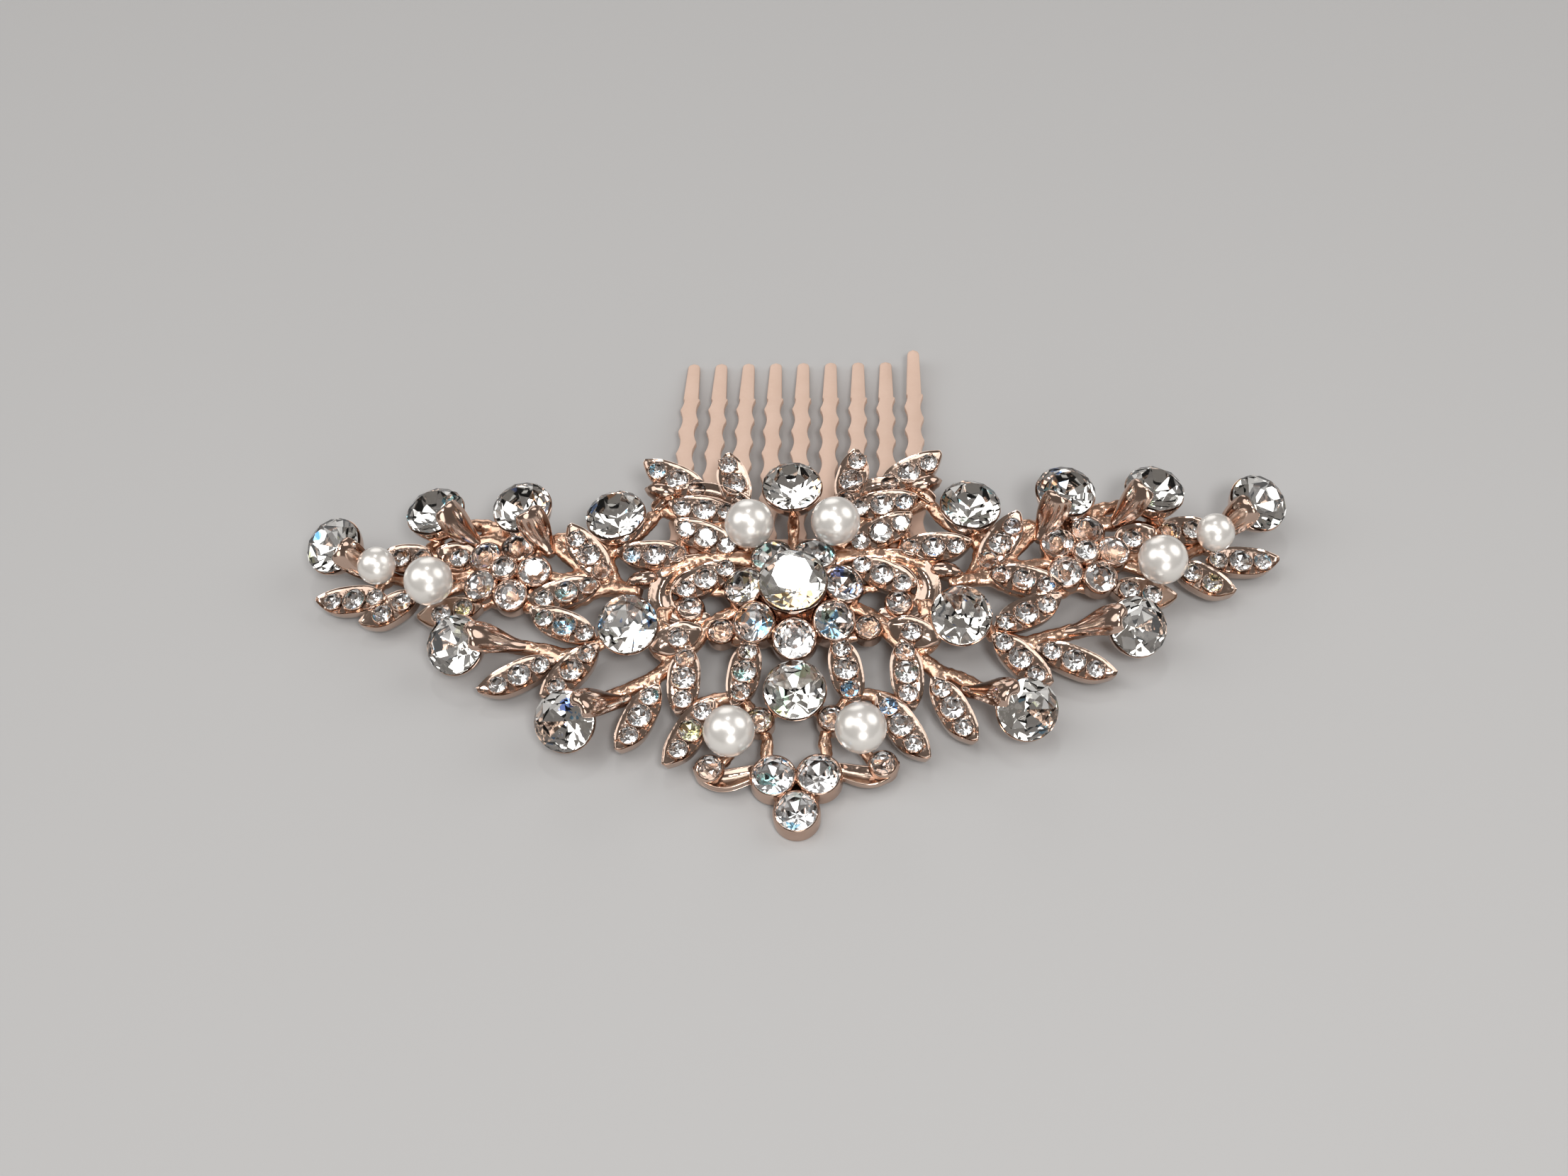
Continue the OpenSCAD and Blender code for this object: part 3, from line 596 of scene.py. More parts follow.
leaves = {-1: [], 1: []}
leaf_stones = {-1: [], 1: []}
for row in LEAVES:
    body = drilled_leaf(row)
    for side in SIDES:
        at = leaf_frame(side, row)
        leaves[side].append((body, at if side > 0 else at @ MIRROR_Y))
        for step, d in LEAF_SETS[row[5]]:
            seat = at @ shift(step * SEAT_STEP - LEAF_SET_BACK, 0, LEAF_TOP - STONE_SINK)
            leaf_stones[side].append((SMALL_STONE, seat @ turn("Z", 13 * step) @ sized(d)))
            leaves[side].append((LIP, seat @ shift(0, 0, LIP_RISE) @ sized(d / 2 + LIP_EASE)))
            for angle in GRAIN_ANGLES:
                x, y = rim_point(d / 2 + GRAIN_OUT, angle, 0).xy
                leaves[side].append((GRAIN, seat @ shift(x, y, GRAIN_RISE) @ sized(GRAIN_R)))
for side, hand in HANDS:
    gather("leaves_" + hand, leaves[side], ("casting",))
for side, hand in HANDS:
    gather("small_stones_" + hand, leaf_stones[side], ("leaf_stones_" + hand,))

# %% [markdown]
# The large stones stand in open cups like small goblets: a foot, a wall that opens upwards and a
# thin rolled rim, with the stone's edge hanging over it. A cup could be spun from a drawn profile.
# Here a disc is extruded and resized from ring to ring instead, as a turner opens a bowl, which
# keeps the whole profile in one short list of radii and heights.

# %% Open cups and their stones
BUD_D = 7.2
CENTRE_D = 8.0
BIG_TURN = 5
# Outwards and backwards in hundredths, height, lean to the front, lean outwards, and the way that
# its sepal points, or None
BUDS = [
    (32.8, 53.7, 3.3, 12, 0, None), (35.8, 82.6, 4.0, -10, 4, None), (55.2, 86.4, 4.1, -7, 4, -122),
    (73.4, 87.4, 4.1, -14, 5, -145), (94.4, 82.6, 4.1, 5, 13, -143), (67.0, 50.5, 4.0, 18, 15, 175),
    (44.2, 29.1, 4.0, 26, 10, 150),
]
TOP_BUD = (0, 88.3, 4.1, -9, 0, None)
BELOW_BUD = (0, 35.6, 3.0, 6, 0, None)
CENTRE_BUD = (0, 60.3, 6.3, 0, 0, None)


def bud_frame(side, row):
    return on_sheet(place(side, row[0], row[1]), row[2]) @ turn("Y", side * row[4]) @ turn("X", row[3])


OPEN_CUP = lathe("open_cup", [
    (1.9, -3.24), (2.15, -3.2), (2.35, -3.0), (2.9, -2.4), (3.3, -1.7), (3.55, -1.1), (3.68, -0.6),
    (3.74, -0.42), (3.75, -0.34), (3.69, -0.28), (3.6, -0.3), (3.45, -0.5), (2.8, -1.2), (1.7, -2.2),
    (1.2, -2.6),
], 48, CUP_GOLD)

cups = []
for side, hand in HANDS:
    for number, row in enumerate(BUDS, 1):
        at = bud_frame(side, row)
        cups.append((OPEN_CUP, at))
        gather("cut_bud_%s_%d" % (hand, number),
               [(BIG_STONE, at @ turn("Z", 17 * number * side) @ sized(BUD_D))],
               ("bud_stone_%s_%d" % (hand, number),))
for name, row, d in (
    ("top", TOP_BUD, BUD_D), ("below", BELOW_BUD, BUD_D), ("centre", CENTRE_BUD, CENTRE_D),
):
    at = bud_frame(1, row)
    cups.append((OPEN_CUP, at @ sized(d / BUD_D)))
    gather("cut_" + name, [(BIG_STONE, at @ turn("Z", BIG_TURN) @ sized(d))],
           ("stone_" + name,))
gather("bud_cups", cups, ("casting",))

# %% [markdown]
# Petals, the front trio and the single small stones sit in closed cups: plain tubes whose rim is
# rubbed over the stone's edge, so its bevel slopes towards the stone. Neighbours share a wall,
# as soldered cups do. Copying each cup by hand into its ring would lose that when a size changes,
# so a ring's radius is worked out from its stones, and each size of cup is turned once.

# %% Places in the flowers and the trio
CUP_WALL = 0.3
CUP_OVERLAP = 0.28
PETAL_D = 4.7
SIDE_PETAL_D = 3.7
SIDE_CENTRE_D = 2.6
PETAL_STEP = 0.08
PETALS = 7
PETAL_RISE = 2.9
PETAL_LEAN = 18
FLOWER_BACK = 60.3 / 100 * DEPTH
SIDE_PETALS = 5
SIDE_FLOWER = (58.6, 71.3)
SIDE_TURNS = {-1: 41, 1: 9}
SIDE_RISE = 2.2
SIDE_CENTRE_RISE = 3.3
SIDE_LEAN = 10
TRIO_RISE = 2.1
TRIO_STEP = 2 * (PETAL_D / 2 + GAP + CUP_WALL) - CUP_OVERLAP
TRIO_BACK = 15.4 / 100 * DEPTH
TRIO_TIP = TRIO_BACK - TRIO_STEP * math.sin(math.radians(60))


def ring_radius(d, count):
    return (d / 2 + GAP + CUP_WALL - CUP_OVERLAP / 2) / math.sin(math.pi / count)


def petal_rise(i, count):
    i = i % count
    return PETAL_STEP * (2 if i == count - 1 else i % 2)


def petal_frame(i):
    angle = -90 + i * 360 / PETALS
    radius = ring_radius(PETAL_D, PETALS)
    x = radius * math.cos(math.radians(angle))
    y = FLOWER_BACK + radius * math.sin(math.radians(angle))
    lift = PETAL_RISE + petal_rise(i, PETALS)
    return on_sheet((x, y), lift) @ turn("Z", angle) @ turn("Y", PETAL_LEAN)


def side_flower_frame(side, lift):
    return on_sheet(place(side, *SIDE_FLOWER), lift)


def side_petal_frame(side, i):
    angle = SIDE_TURNS[side] + i * 360 / SIDE_PETALS
    lift = SIDE_RISE + petal_rise(i, SIDE_PETALS)
    return (side_flower_frame(side, lift) @ turn("Z", turned(side, angle))
            @ shift(ring_radius(SIDE_PETAL_D, SIDE_PETALS), 0, 0) @ turn("Y", SIDE_LEAN))


def trio_frame(side):
    middle = on_sheet((0, TRIO_BACK if side else TRIO_TIP), TRIO_RISE)
    return middle @ shift(side * TRIO_STEP / 2, 0, 0)


print("petal ring radius", round(ring_radius(PETAL_D, PETALS), 2), "mm")

# %% Closed cups and their stones
def closed_cup(name, d, depth):
    outer = d / 2 + GAP + CUP_WALL
    rim = GIRDLE * d
    return lathe(name, [
        (outer - 0.08, -depth), (outer, -depth + 0.08), (outer, rim - 0.5), (outer - 0.04, rim - 0.36),
        (d / 2 + 0.2, rim - 0.06), (d / 2 + 0.13, rim), (d / 2 + 0.05, rim - 0.05), (d / 2 * 0.97, -0.12),
        (d / 2 * 0.6, -d * 0.24), (d / 2 * 0.3, -d * 0.36),
    ], 40, CUP_GOLD)


PETAL_CUP = closed_cup("petal_cup", PETAL_D, 2.3)
TRIO_CUP = closed_cup("trio_cup", PETAL_D, 2.1)
SIDE_CUP = closed_cup("side_cup", SIDE_PETAL_D, 1.85)
SIDE_CENTRE_CUP = closed_cup("side_centre_cup", SIDE_CENTRE_D, 2.88)
SINGLE_CUP = closed_cup("single_cup", LEAF_STONE_D, 1.85)
SINGLES = [(14.5, 52.5, 1.9), (7.0, 29.5, 1.9), (16.6, 18.2, 1.8), (20.8, 58.9, 1.8)]

cups = []
for i in range(PETALS):
    at = petal_frame(i)
    cups.append((PETAL_CUP, at))
    stone = (PETAL_STONE, at @ turn("Z", 11 * i) @ sized(PETAL_D))
    gather("cut_petal_%d" % (i + 1), [stone], ("petal_stone_%d" % (i + 1),))
for side, name in ((-1, "left"), (1, "right"), (0, "tip")):
    at = trio_frame(side)
    cups.append((TRIO_CUP, at))
    stone = (PETAL_STONE, at @ turn("Z", 9 + 8 * side) @ sized(PETAL_D))
    gather("cut_front_" + name, [stone], ("front_stone_" + name,))
for side, hand in HANDS:
    stones = []
    for i in range(SIDE_PETALS):
        at = side_petal_frame(side, i)
        cups.append((SIDE_CUP, at))
        stones.append((PETAL_STONE, at @ turn("Z", 14 * i) @ sized(SIDE_PETAL_D)))
    at = side_flower_frame(side, SIDE_CENTRE_RISE)
    cups.append((SIDE_CENTRE_CUP, at))
    stones.append((PETAL_STONE, at @ sized(SIDE_CENTRE_D)))
    gather("cut_side_flower_" + hand, stones, ("side_flower_stones_" + hand,))
    singles = []
    for row in SINGLES:
        at = on_sheet(place(side, row[0], row[1]), row[2])
        cups.append((SINGLE_CUP, at))
        singles.append((SMALL_STONE, at @ sized(LEAF_STONE_D)))
    gather("single_stones_" + hand, singles)
gather("closed_cups", cups, ("casting",))

# %% [markdown]
# Five buds on each wing have a sepal: a smooth hood that rises from the stem, swells, follows the
# cup and curls over the stone's edge in two lobes. Sculpting it would need a mouse, and a bent cone
# would have no lobes, so it is lofted through a row of oval rings. The first ones stand in the
# bud's own frame, which leans, and the last ones lie along the stem, so each ring is blended from
# one frame to the other. Two subdivisions make the hood smooth. The hoods of the buds at the back
# are short caps, and those at the front have a long neck.

# %% Sepals
HOOD_SIDES = 14
BACK_BUDS = 70
CAP_LENGTH = 0.66
CAP_WIDTH = 1.05
NECK_WIDTH = 1.05
HOOD_LOBE = 0.45
LOBE_WAVE = 2.6
LOBE_SIDE = 0.9
LOBE_END = 3.6
# Distance from the stone's middle, half width, top and bottom beside the stone, top and bottom on
# the stem, and how far the ring has left the bud's frame for the stem's
HOOD_RINGS = [
    (2.5, 0.25, 1.35, 1.2, 2.0, 0.3, 0), (2.65, 0.95, 1.85, 1.0, 2.0, 0.3, 0),
    (3.1, 1.6, 2.35, 0.8, 2.0, 0.3, 0), (3.75, 2.0, 2.45, -0.2, 2.2, 0.3, 0),
    (4.4, 2.1, 2.0, -1.8, 2.8, 0.3, 0.1), (5.1, 1.85, 1.1, -2.6, 3.0, 0.3, 0.3),
    (5.8, 1.4, 0.3, -3.0, 2.8, 0.2, 0.6), (6.7, 1.0, -0.7, -3.3, 2.3, 0.2, 0.85),
    (7.6, 0.8, -1.5, -3.6, 1.8, 0.2, 1), (8.5, 0.6, -2, -3.8, 1.5, 0.3, 1),
]


def loft(name, rings, *materials, smooth=180, levels=1):
    """A closed form through a row of rings: the first ring's cap is extruded to each next one."""
    deselect_all()
    bpy.ops.mesh.primitive_circle_add(vertices=len(rings[0]), radius=1, fill_type="NGON")
    piece = begin(name)
    for number, ring in enumerate(rings):
        if number:
            extrude()
        edit = bmesh.from_edit_mesh(piece.data)
        chosen = sorted((v for v in edit.verts if v.select), key=lambda v: v.index)
        for vertex, at in zip(chosen, ring):
            vertex.co = at
        bmesh.update_edit_mesh(piece.data)
    bpy.ops.mesh.select_all(action="SELECT")
    bpy.ops.mesh.normals_make_consistent(inside=False)
    modify(piece, "SUBSURF", levels=levels, render_levels=levels)
    return keep_pattern(piece, *materials, smooth=smooth)


def hood(side, row):
    round_stone = turn("Z", turned(side, row[5]))
    bud = bud_frame(side, row) @ round_stone
    stem = on_sheet(place(side, row[0], row[1])) @ round_stone
    is_cap = row[1] > BACK_BUDS
    nearest = HOOD_RINGS[0][0]
    rings = []
    for x, half_w, top, bottom, stem_top, stem_bottom, blend in HOOD_RINGS:
        ring = []
        for k in range(HOOD_SIDES):
            angle = 2 * math.pi * k / HOOD_SIDES
            across = half_w * math.cos(angle)
            lobe = HOOD_LOBE * math.cos(across * LOBE_WAVE - LOBE_SIDE * side) * max(0, LOBE_END - x)
            across *= CAP_WIDTH if is_cap else NECK_WIDTH
            far = nearest + (x - nearest) * (CAP_LENGTH if is_cap else 1)
            spread = across / far
            out = far + lobe
            high = (top + bottom) / 2 + (top - bottom) / 2 * math.sin(angle)
            low = (stem_top + stem_bottom) / 2 + (stem_top - stem_bottom) / 2 * math.sin(angle)
            beside = bud @ Vector((out * math.cos(spread), out * math.sin(spread), high))
            along = stem @ Vector((far, across, low))
            ring.append(beside.lerp(along, blend))
        rings.append(ring)
    return loft("hood", rings, CUP_GOLD, levels=2)


hooded = [row for row in BUDS if row[5] is not None]
hoods = [(hood(side, row), Matrix.Identity(4)) for side in SIDES for row in hooded]
gather("sepals", hoods, ("casting",))

# %% [markdown]
# The stems are cast wires that wind through the spray, and the casting keeps low webs of metal
# between some of them. Each follows a route of a few points, which is smoothed as in the part's
# source, so the stems run where the solid ones do.

# %% Routes of the stems
# Width at the start and at the end in hundredths, and the route
STEMS = [
    (110, 110, [(28.5, 86.5), (31, 82), (35, 78.5), (39, 78), (44, 80.5), (50, 80.5)]),
    (100, 100, [(31.5, 81), (36, 83.5)]),
    (100, 90, [(27.5, 87.5), (23, 84.5), (17, 82.5), (11, 82), (8.2, 78.6)]),
    (100, 110, [(50, 80.5), (55, 83), (62, 85), (67, 86.5), (73.5, 86)]),
    (150, 110, [(6, 71), (12, 72.5), (19, 73), (25, 71), (31, 67.5)]),
    (130, 110, [(31, 65), (35, 65.8), (40, 66), (44, 63.5), (49.5, 62), (54, 63), (59, 68)]),
    (110, 100, [(50, 80.5), (46, 75), (41, 70.5), (36, 67), (31, 65)]),
    (100, 100, [(38, 75), (37, 70), (35, 66)]),
    (80, 80, [(23.5, 61), (19, 63.8), (14, 63.5), (11, 60.5)]),
    (150, 110, [(26, 60), (27, 55), (27.5, 50), (24.5, 46.5)]),
    (120, 110, [(11, 59), (16.5, 55.5), (19.5, 51), (22, 47.5), (24.5, 45), (27.5, 42.5), (28.2, 38)]),
    (110, 100, [(23, 46), (21, 48.5)]),
    (110, 140, [(24, 45), (29, 41.5), (34, 38.8), (39, 35.5), (43.6, 32.5)]),
    (120, 100, [(17, 55), (13, 52), (8, 50.5), (6.5, 51.5)]),
    (100, 100, [(20.5, 34), (17, 35.5), (13.5, 36.2), (10.5, 35.5), (8, 31.5), (7, 29.5)]),
    (100, 90, [(3.5, 33), (7, 29.5), (5.5, 25.5), (5.8, 21.5), (4.8, 17.5)]),
    (100, 90, [(16.5, 35), (15, 30), (12.5, 24.6), (14, 20.5), (16.6, 18.2)]),
    (120, 110, [(37, 54), (39.5, 51.5), (42.5, 50), (46, 49)]),
    (90, 90, [(46, 49), (50.5, 46.2)]),
    (110, 140, [(46, 49), (50, 50.5), (55, 52), (60, 53.5), (65.8, 53.2)]),
    (100, 90, [(59, 69), (62.5, 64.5), (66, 63)]),
    (110, 100, [(62, 72.5), (68, 70), (73, 67.8), (78, 68.8)]),
    (100, 100, [(75, 69), (79, 72.3), (85, 75.6), (89, 79.5), (92.5, 82)]),
    (90, 90, [(85, 75.6), (86, 72.5), (88, 69.8)]),
    (100, 110, [(77, 78), (75.5, 81.5), (72.5, 85.5)]),
    (110, 100, [(61, 76), (60, 81), (62, 85)]),
    (90, 90, [(70.5, 76), (73.5, 72.5), (73, 67.8)]),
]
# Low webs between the stems
WEBS = [
    (120, 120, [(58, 80), (64, 81.5), (70, 81), (77, 78)]),
    (110, 110, [(50, 80.5), (53, 77.5), (56, 75)]),
    (110, 110, [(41, 70.5), (47, 69.5), (53, 71)]),
    (130, 110, [(64, 73), (70, 73.5), (76, 74), (80, 73)]),
    (110, 110, [(35, 78.5), (38, 75), (41, 70.5)]),
    (120, 110, [(55, 83), (57, 79), (58, 75)]),
    (110, 110, [(8, 76), (12.5, 78), (17, 82.5)]),
    (110, 110, [(22, 73), (23, 77), (21, 80)]),
    (110, 110, [(25, 60), (21, 62), (19, 66)]),
]
SPINE = [(90, 90, [(0, 94), (0, 84), (0, 72), (0, 60)]), (90, 90, [(0, 53), (0, 47), (0, 41)])]
STEPS = 4
print("stems and webs:", 2 * len(STEMS + WEBS) + len(SPINE))


def smooth_route(points):
    route = []
    for i in range(len(points) - 1):
        a, b = points[max(i - 1, 0)], points[i]
        c, d = points[i + 1], points[min(i + 2, len(points) - 1)]
        for k in range(STEPS):
            t = k / STEPS
            route.append(b + (c - a) * t / 2 + (2 * a - 5 * b + 4 * c - d) * t * t / 2
                         + (3 * b - a - 3 * c + d) * t * t * t / 2)
    return route + [points[-1]]


# %% [markdown]
# A stem could be swept by hand, but a curve with a round section does it in one step and may swell
# from point to point. It is laid along the route, made a mesh, flattened a little, and bent over
# the arch, and slow noise makes it as uneven as a casting. The noise starts from a different number
# each time unless it is given one, so it gets a fixed seed. The flowers get a plate underneath, to
# which their cups are soldered.

# %% Stems and plates
STEM_W = 1.65
STEM_MIDDLE = 0.75
STEM_END = 0.82
STEM_FLAT = 0.82
UNEVEN = 0.16
UNEVEN_STEP = 0.9
UNEVEN_SEED = 7
PLATE_MARGIN = 0.4
SIDE_PLATE_MARGIN = 0.9


def stem_mesh(side, row):
    """A stem's mesh in plan, in millimetres, before it is bent over the arch."""
    route = smooth_route([Vector((*place(side, *point), 0)) for point in row[2]])
    curve = bpy.data.curves.new("stem", "CURVE")
    curve.dimensions = "3D"
    curve.bevel_depth = STEM_W / 2
    curve.bevel_resolution = 3
    curve.use_fill_caps = True
    spline = curve.splines.new("POLY")
    spline.points.add(len(route) - 1)
    for i, (point, at) in enumerate(zip(spline.points, route)):
        share = (row[0] + (row[1] - row[0]) * i / (len(route) - 1)) / 100
        end = min(i, len(route) - 1 - i)
        point.co = (at.x, at.y, 0, 1)
        point.radius = share * (STEM_END if end == 0 else 1)
    put_in_scene("stem", curve)
    bpy.ops.object.convert(target="MESH")
    mesh = bpy.context.object.data
    mesh.materials.append(STEM_GOLD)
    bpy.data.objects.remove(bpy.context.object)
    for face in mesh.polygons:
        face.use_smooth = True
    for vertex in mesh.vertices:
        x, y, z = vertex.co
        uneven = noise.noise_vector(Vector((x, y, z)) * UNEVEN_STEP) * UNEVEN
        x, y, z = x + uneven.x, y + uneven.y, z * STEM_FLAT + uneven.z * 0.8
        vertex.co = (x, y, z + STEM_MIDDLE - x * x / (2 * ARCH_RADIUS))
    return mesh


noise.seed_set(UNEVEN_SEED)
stems = [(stem_mesh(side, row), LAID) for side in SIDES for row in STEMS + WEBS]
stems += [(stem_mesh(1, row), LAID) for row in SPINE]
PLATE = lathe("plate", [(0.9, 0.15), (1, 0.25), (1, 1.2), (0.94, 1.32), (0.2, 1.35)], 36, STEM_GOLD)
POST = lathe("post", [(1.6, 0.45), (1.6, 3.0)], 24, STEM_GOLD)
radius = ring_radius(PETAL_D, PETALS) + PLATE_MARGIN
stems.append((PLATE, on_sheet((0, FLOWER_BACK)) @ sized(radius, radius, 1)))
stems.append((POST, on_sheet((0, FLOWER_BACK))))
radius = ring_radius(SIDE_PETAL_D, SIDE_PETALS) + SIDE_PLATE_MARGIN
for side in SIDES:
    stems.append((PLATE, side_flower_frame(side, 0) @ sized(radius, radius, 1)))
print("stems, plates and post:", len(stems))

# %% [markdown]
# Where cast stems meet, the metal runs together in soft corners. A boolean would join them, but it
# leaves sharp creases. So the stems are made one skin of small squares, a quarter of a millimetre
# wide, which is smoothed and then roughened by slow noise, as the skin of a casting is.

# %% Stems made one casting
SKIN_SQUARE = 0.24
LUMP_SIZE = 0.9
LUMP_HEIGHT = 0.35

web = put_in_scene("web", join_copies("web", stems))
modify(web, "REMESH", mode="VOXEL", voxel_size=SKIN_SQUARE)
modify(web, "SMOOTH", factor=0.5, iterations=4)
lumps = bpy.data.textures.new("casting_lumps", "CLOUDS")
lumps.noise_scale = LUMP_SIZE
modify(web, "DISPLACE", texture=lumps, texture_coords="LOCAL", strength=LUMP_HEIGHT, mid_level=0.45)
WEB = keep_pattern(web, STEM_GOLD, smooth=180)
gather("stems", [(WEB, Matrix.Identity(4))], ("casting",))

# %% [markdown]
# Three stems on each side are broad bands with raised edges, like leaves folded along their middle.
# A flat strip with a crease would be too thin at its edges, so a band is lofted through sections
# with a hollow top, whose half width swells and narrows along the route.

# %% Folded bands
BAND_END = 0.6
BAND_SECTION = [
    (-1, 0.3), (-1.06, 0.85), (-1.04, 1.3), (-0.94, 1.55), (-0.78, 1.45), (-0.45, 1.05), (0, 0.85),
    (0.45, 1.05), (0.78, 1.45), (0.94, 1.55), (1.04, 1.3), (1.06, 0.85), (1, 0.3), (0.4, 0.2), (-0.4, 0.2),
]
# Half widths at the start, in the middle and at the end, height as a share, and the route
BANDS = [
    (1.0, 1.15, 0.8, 1.2, [(8, 76), (9.5, 86), (14.5, 90), (19.5, 91.5), (25, 90.5), (29, 86.5)]),
    (1.0, 1.5, 1.0, 1.1,
     [(18, 72), (23.5, 70.5), (26.5, 66.5), (27, 62), (25, 57.5), (20, 55.5), (16.5, 56)]),
    (0.5, 1.25, 0.6, 1.0, [(19.5, 19.5), (17, 16.6), (14, 15.6), (10.5, 16.4), (6.5, 17.8)]),
]


def band(side, row):
    route = smooth_route([Vector((*place(side, *point), 0)) for point in row[4]])
    rings = []
    for i, at in enumerate(route):
        ahead = route[min(i + 1, len(route) - 1)] - route[max(i - 1, 0)]
        across = Vector((-ahead.y, ahead.x, 0)).normalized()
        share = i / (len(route) - 1)
        ends = row[0] + (row[2] - row[0]) * share
        half_w = ends + (row[1] - (row[0] + row[2]) / 2) * 4 * share * (1 - share)
        half_w *= BAND_END if i in (0, len(route) - 1) else 1
        ring = []
        for u, v in BAND_SECTION:
            spot = at + across * half_w * u
            ring.append((spot.x, spot.y, v * row[3] - spot.x ** 2 / (2 * ARCH_RADIUS)))
        rings.append(ring)
    return loft("band", rings, LEAF_GOLD)


bands = [(band(side, row), LAID) for side in SIDES for row in BANDS]
gather("folded_bands", bands, ("casting",))

# %% [markdown]
# Two small plain buds on each side have no stone. Each is a ball drawn out to a point: a ball is
# resized to an egg, and then the part beyond three limits is drawn in, a little more each time.

# %% Plain buds
PLAIN_HALVES = (2.1, 1.15, 1.25)
# Outwards and backwards in hundredths, and turn
PLAIN_BUDS = ((27.5, 91.8, 15), (30.8, 67.5, -12))

deselect_all()
bpy.ops.mesh.primitive_uv_sphere_add(segments=24, ring_count=16, radius=1)
bud = begin("plain_bud")
bpy.ops.mesh.select_all(action="SELECT")
resize(*PLAIN_HALVES)
for limit, share in ((0.9, 0.88), (1.5, 0.7), (1.9, 0.5)):
    pick(bud, lambda p: p.x > limit)
    resize(y=share, z=share)
PLAIN_BUD = keep_pattern(bud, CUP_GOLD, smooth=180)
buds = []
for side in SIDES:
    for out, back, angle in PLAIN_BUDS:
        at = on_sheet(place(side, out, back), PLAIN_HALVES[2])
        buds.append((PLAIN_BUD, at @ turn("Z", turned(side, angle))))
gather("plain_buds", buds, ("casting",))

# %% [markdown]
# The pearls have a drilled foot and are glued on short pegs. A drop of glue has run out under each,
# and more of it under the right pearl at the front. The hole needs no boolean: the points round the
# ball's lowest one are pushed up into it. Pegs and drops are turned, like the cups.

# %% Pearls, pegs and glue
PEARL_D = 6.0
SMALL_PEARL_D = 4.7
PEARL_FOOT = 1.95
HOLE_BELOW = -0.493
HOLE_DEPTH = 0.3
RUN_OUT = 1.4
PEARLS = [("back", 8.6, 77.4, PEARL_D), ("outer", 73.0, 67.2, PEARL_D),
          ("small", 84.6, 74.6, SMALL_PEARL_D), ("front", 12.4, 24.0, PEARL_D)]

deselect_all()
bpy.ops.mesh.primitive_uv_sphere_add(segments=64, ring_count=40, radius=0.5)
ball = begin("ball")
pick(ball, lambda p: p.z < HOLE_BELOW)
move(z=HOLE_DEPTH)
BALL = keep_pattern(ball, PEARL, smooth=180)
PEG = lathe("peg", [
    (0.95, 0.2), (0.98, 1.2), (0.8, 1.42), (0.5, 1.55), (0.45, 1.8), (0.45, 3.6),
], 20, STEM_GOLD)
DROP = lathe("drop", [(0.5, 1.45), (0.72, 1.5), (0.7, 1.75), (0.95, 2.05), (0.9, 2.2)], 24, GLUE)

pegs = []
drops = []
for side, hand in HANDS:
    for name, out, back, d in PEARLS:
        at = on_sheet(place(side, out, back))
        pegs.append((PEG, at))
        run_out = RUN_OUT if name == "front" and side > 0 else 1
        drops.append((DROP, at @ sized(run_out, run_out, 1)))
        pearl = (BALL, at @ shift(0, 0, PEARL_FOOT + d / 2) @ sized(d))
        gather("bead_%s_%s" % (name, hand), [pearl], ("pearl_%s_%s" % (name, hand),))
gather("pegs", pegs, ("casting",))
gather("glue", drops)

# %% [markdown]
# The comb is stamped from sheet metal. Round bites along both edges of each tooth leave small
# points that hold in the hair, half a step apart, and the last stretch is plain. Some fifteen
# booleans could bite a tooth out, but they leave ragged faces. So one tooth is a long grid whose
# rows are drawn in to the width that the bites leave there, given its thickness and a bevel, and
# copied. The outer half of the ninth was bent up a little.

# %% One tooth
TOOTH_W = 2.5
TIP_W = 1.6
TOOTH_L = 34.8
PLAIN_L = 7.5
POINT_PITCH = 4.4
POINT_W = 0.25
BITE_DEPTH = 0.4
COMB_T = 0.8
END_FLARE = 0.2
ROWS = 150

pointed_l = TOOTH_L - PLAIN_L
bite_chord = POINT_PITCH - POINT_W
bite_r = bite_chord ** 2 / (8 * BITE_DEPTH) + BITE_DEPTH / 2


def edge_at(y, hand):
    """Half the tooth's width at a place along it."""
    if y > pointed_l:
        past = (y - pointed_l) / (TOOTH_L - pointed_l - TIP_W / 2)
        if past < 1:
            return TIP_W / 2 + END_FLARE * (1 - past)
        return math.sqrt(max(0.0004, (TIP_W / 2) ** 2 - (y - TOOTH_L + TIP_W / 2) ** 2))
    middle = pointed_l + (0.5 if hand > 0 else 0) * POINT_PITCH
    off = (middle - y) % POINT_PITCH
    off = min(off, POINT_PITCH - off)
    bite = bite_r - BITE_DEPTH
    inside = bite_r ** 2 - off ** 2
    half = TOOTH_W / 2
    return min(half, half + bite - math.sqrt(inside)) if off < bite_chord / 2 else half


deselect_all()
bpy.ops.mesh.primitive_grid_add(x_subdivisions=2, y_subdivisions=ROWS, size=2)
tooth = begin("tooth")
bpy.ops.object.mode_set(mode="OBJECT")
for vertex in tooth.data.vertices:
    y = -1 + (vertex.co.y + 1) / 2 * (TOOTH_L + 1)
    half = edge_at(y, vertex.co.x)
    vertex.co = (0 if abs(vertex.co.x) < 0.1 else math.copysign(half, vertex.co.x), y, 0)
modify(tooth, "SOLIDIFY", thickness=COMB_T, offset=0)
modify(tooth, "BEVEL", width=0.1, segments=2, limit_method="ANGLE", angle_limit=math.radians(60))
TOOTH = keep_pattern(tooth, COMB_GOLD, smooth=45)
print("tooth:", len(TOOTH.polygons), "faces, bites of radius", round(bite_r, 2), "mm")

# %% [markdown]
# The teeth hang on a bar that is soldered under the spray, a little askew and off the middle. The
# bar shows only from below, so it is a plain strip with rounded edges.

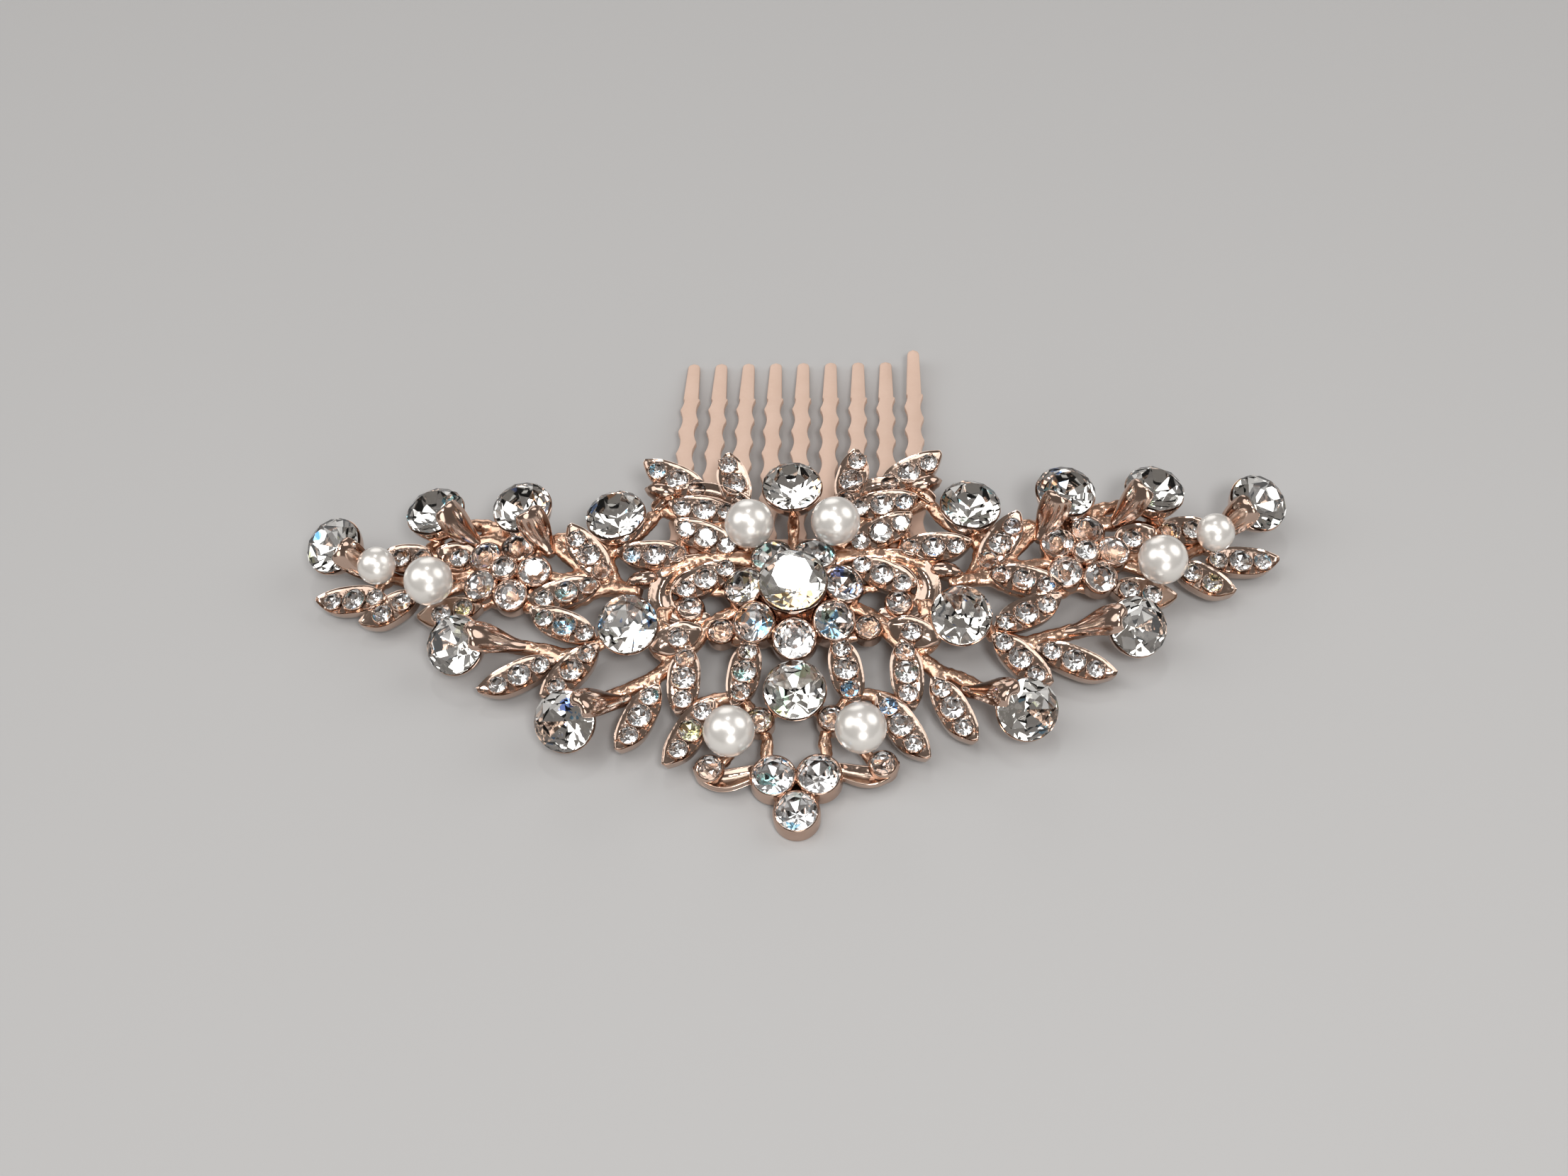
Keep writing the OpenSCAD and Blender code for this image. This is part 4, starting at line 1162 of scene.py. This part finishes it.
# %% Comb
TEETH = 9
TOOTH_PITCH = 3.7
BEND_AT = 20
BEND_UP = 2.0
BAR_W = 4
BAR_BACK = 39
BAR_SHIFT = 0.25
BAR_Z = 5.2756
COMB_TURN = 1.6
COMB_SLOPE = 7.619

BENT_TOOTH = TOOTH.copy()
for vertex in BENT_TOOTH.vertices:
    past = max(0, vertex.co.y - BEND_AT) / (TOOTH_L - BEND_AT)
    vertex.co.z += BEND_UP * past ** 2

deselect_all()
bpy.ops.mesh.primitive_cube_add(size=1)
bar = begin("bar")
bpy.ops.mesh.select_all(action="SELECT")
resize((TEETH - 1) * TOOTH_PITCH + TOOTH_W, BAR_W, COMB_T)
modify(bar, "BEVEL", width=0.15, segments=2)
BAR = keep_pattern(bar, COMB_GOLD)

bar_y = FRONT_Y + BAR_BACK * math.cos(math.radians(REST_TILT))
comb_frame = shift(BAR_SHIFT, bar_y, BAR_Z) @ turn("Z", -COMB_TURN) @ turn("X", -COMB_SLOPE)
comb = [(BAR, comb_frame)]
for i in range(TEETH):
    x = (i - (TEETH - 1) / 2) * TOOTH_PITCH
    comb.append((BENT_TOOTH if i == TEETH - 1 else TOOTH, comb_frame @ shift(x, BAR_W / 2, 0)))
gather("comb", comb, ("casting",))

# %% [markdown]
# The floor is a plain pale sheet of matt paper. One big soft lamp would light the comb evenly, but
# polished metal and cut glass live from contrast. So there are seven discs: a key lamp at the front
# right, a tiny one high at the back whose mirror image flashes in the stones' tables, and five
# broad ones round about. Between them the dim room gives the metal something dark to reflect.

# %% Floor and light
deselect_all()
bpy.ops.mesh.primitive_plane_add(size=3)
floor = bpy.context.object
floor.name = "floor"
paper, _, shader = new_material("pale_paper")
shader.inputs["Base Color"].default_value = colour("#b7b6b5")
shader.inputs["Roughness"].default_value = 0.9
floor.data.materials.append(paper)

# Place in metres, width in metres, and watts
LAMPS = {
    "key_lamp": ((0.1, -0.28, 0.42), 0.12, 1.0),
    "table_lamp": ((-0.018, 0.215, 0.565), 0.05, 0.22),
    "left_lamp": ((-0.45, 0.0, 0.42), 0.5, 1.05),
    "right_lamp": ((0.48, 0.12, 0.4), 0.5, 1.0),
    "front_lamp": ((-0.14, -0.12, 0.62), 0.4, 0.9),
    "low_lamp": ((0.1, -0.6, 0.2), 0.4, 0.85),
    "back_lamp": ((-0.1, 0.62, 0.22), 0.45, 0.6),
}
for name, (at, size, watts) in LAMPS.items():
    data = bpy.data.lights.new(name, "AREA")
    data.shape = "DISK"
    data.size = size
    data.energy = watts
    lamp = bpy.data.objects.new(name, data)
    bpy.context.scene.collection.objects.link(lamp)
    lamp.location = at
    lamp.rotation_euler = (-Vector(at)).to_track_quat("-Z", "Y").to_euler()
print("lamps:", len(LAMPS))

world = bpy.data.worlds.new("room")
bpy.context.scene.world = world
world.use_nodes = True
world.node_tree.nodes["Background"].inputs["Color"].default_value = colour("#c9c2bd")
world.node_tree.nodes["Background"].inputs["Strength"].default_value = 0.28
bpy.context.scene.view_settings.view_transform = "Standard"
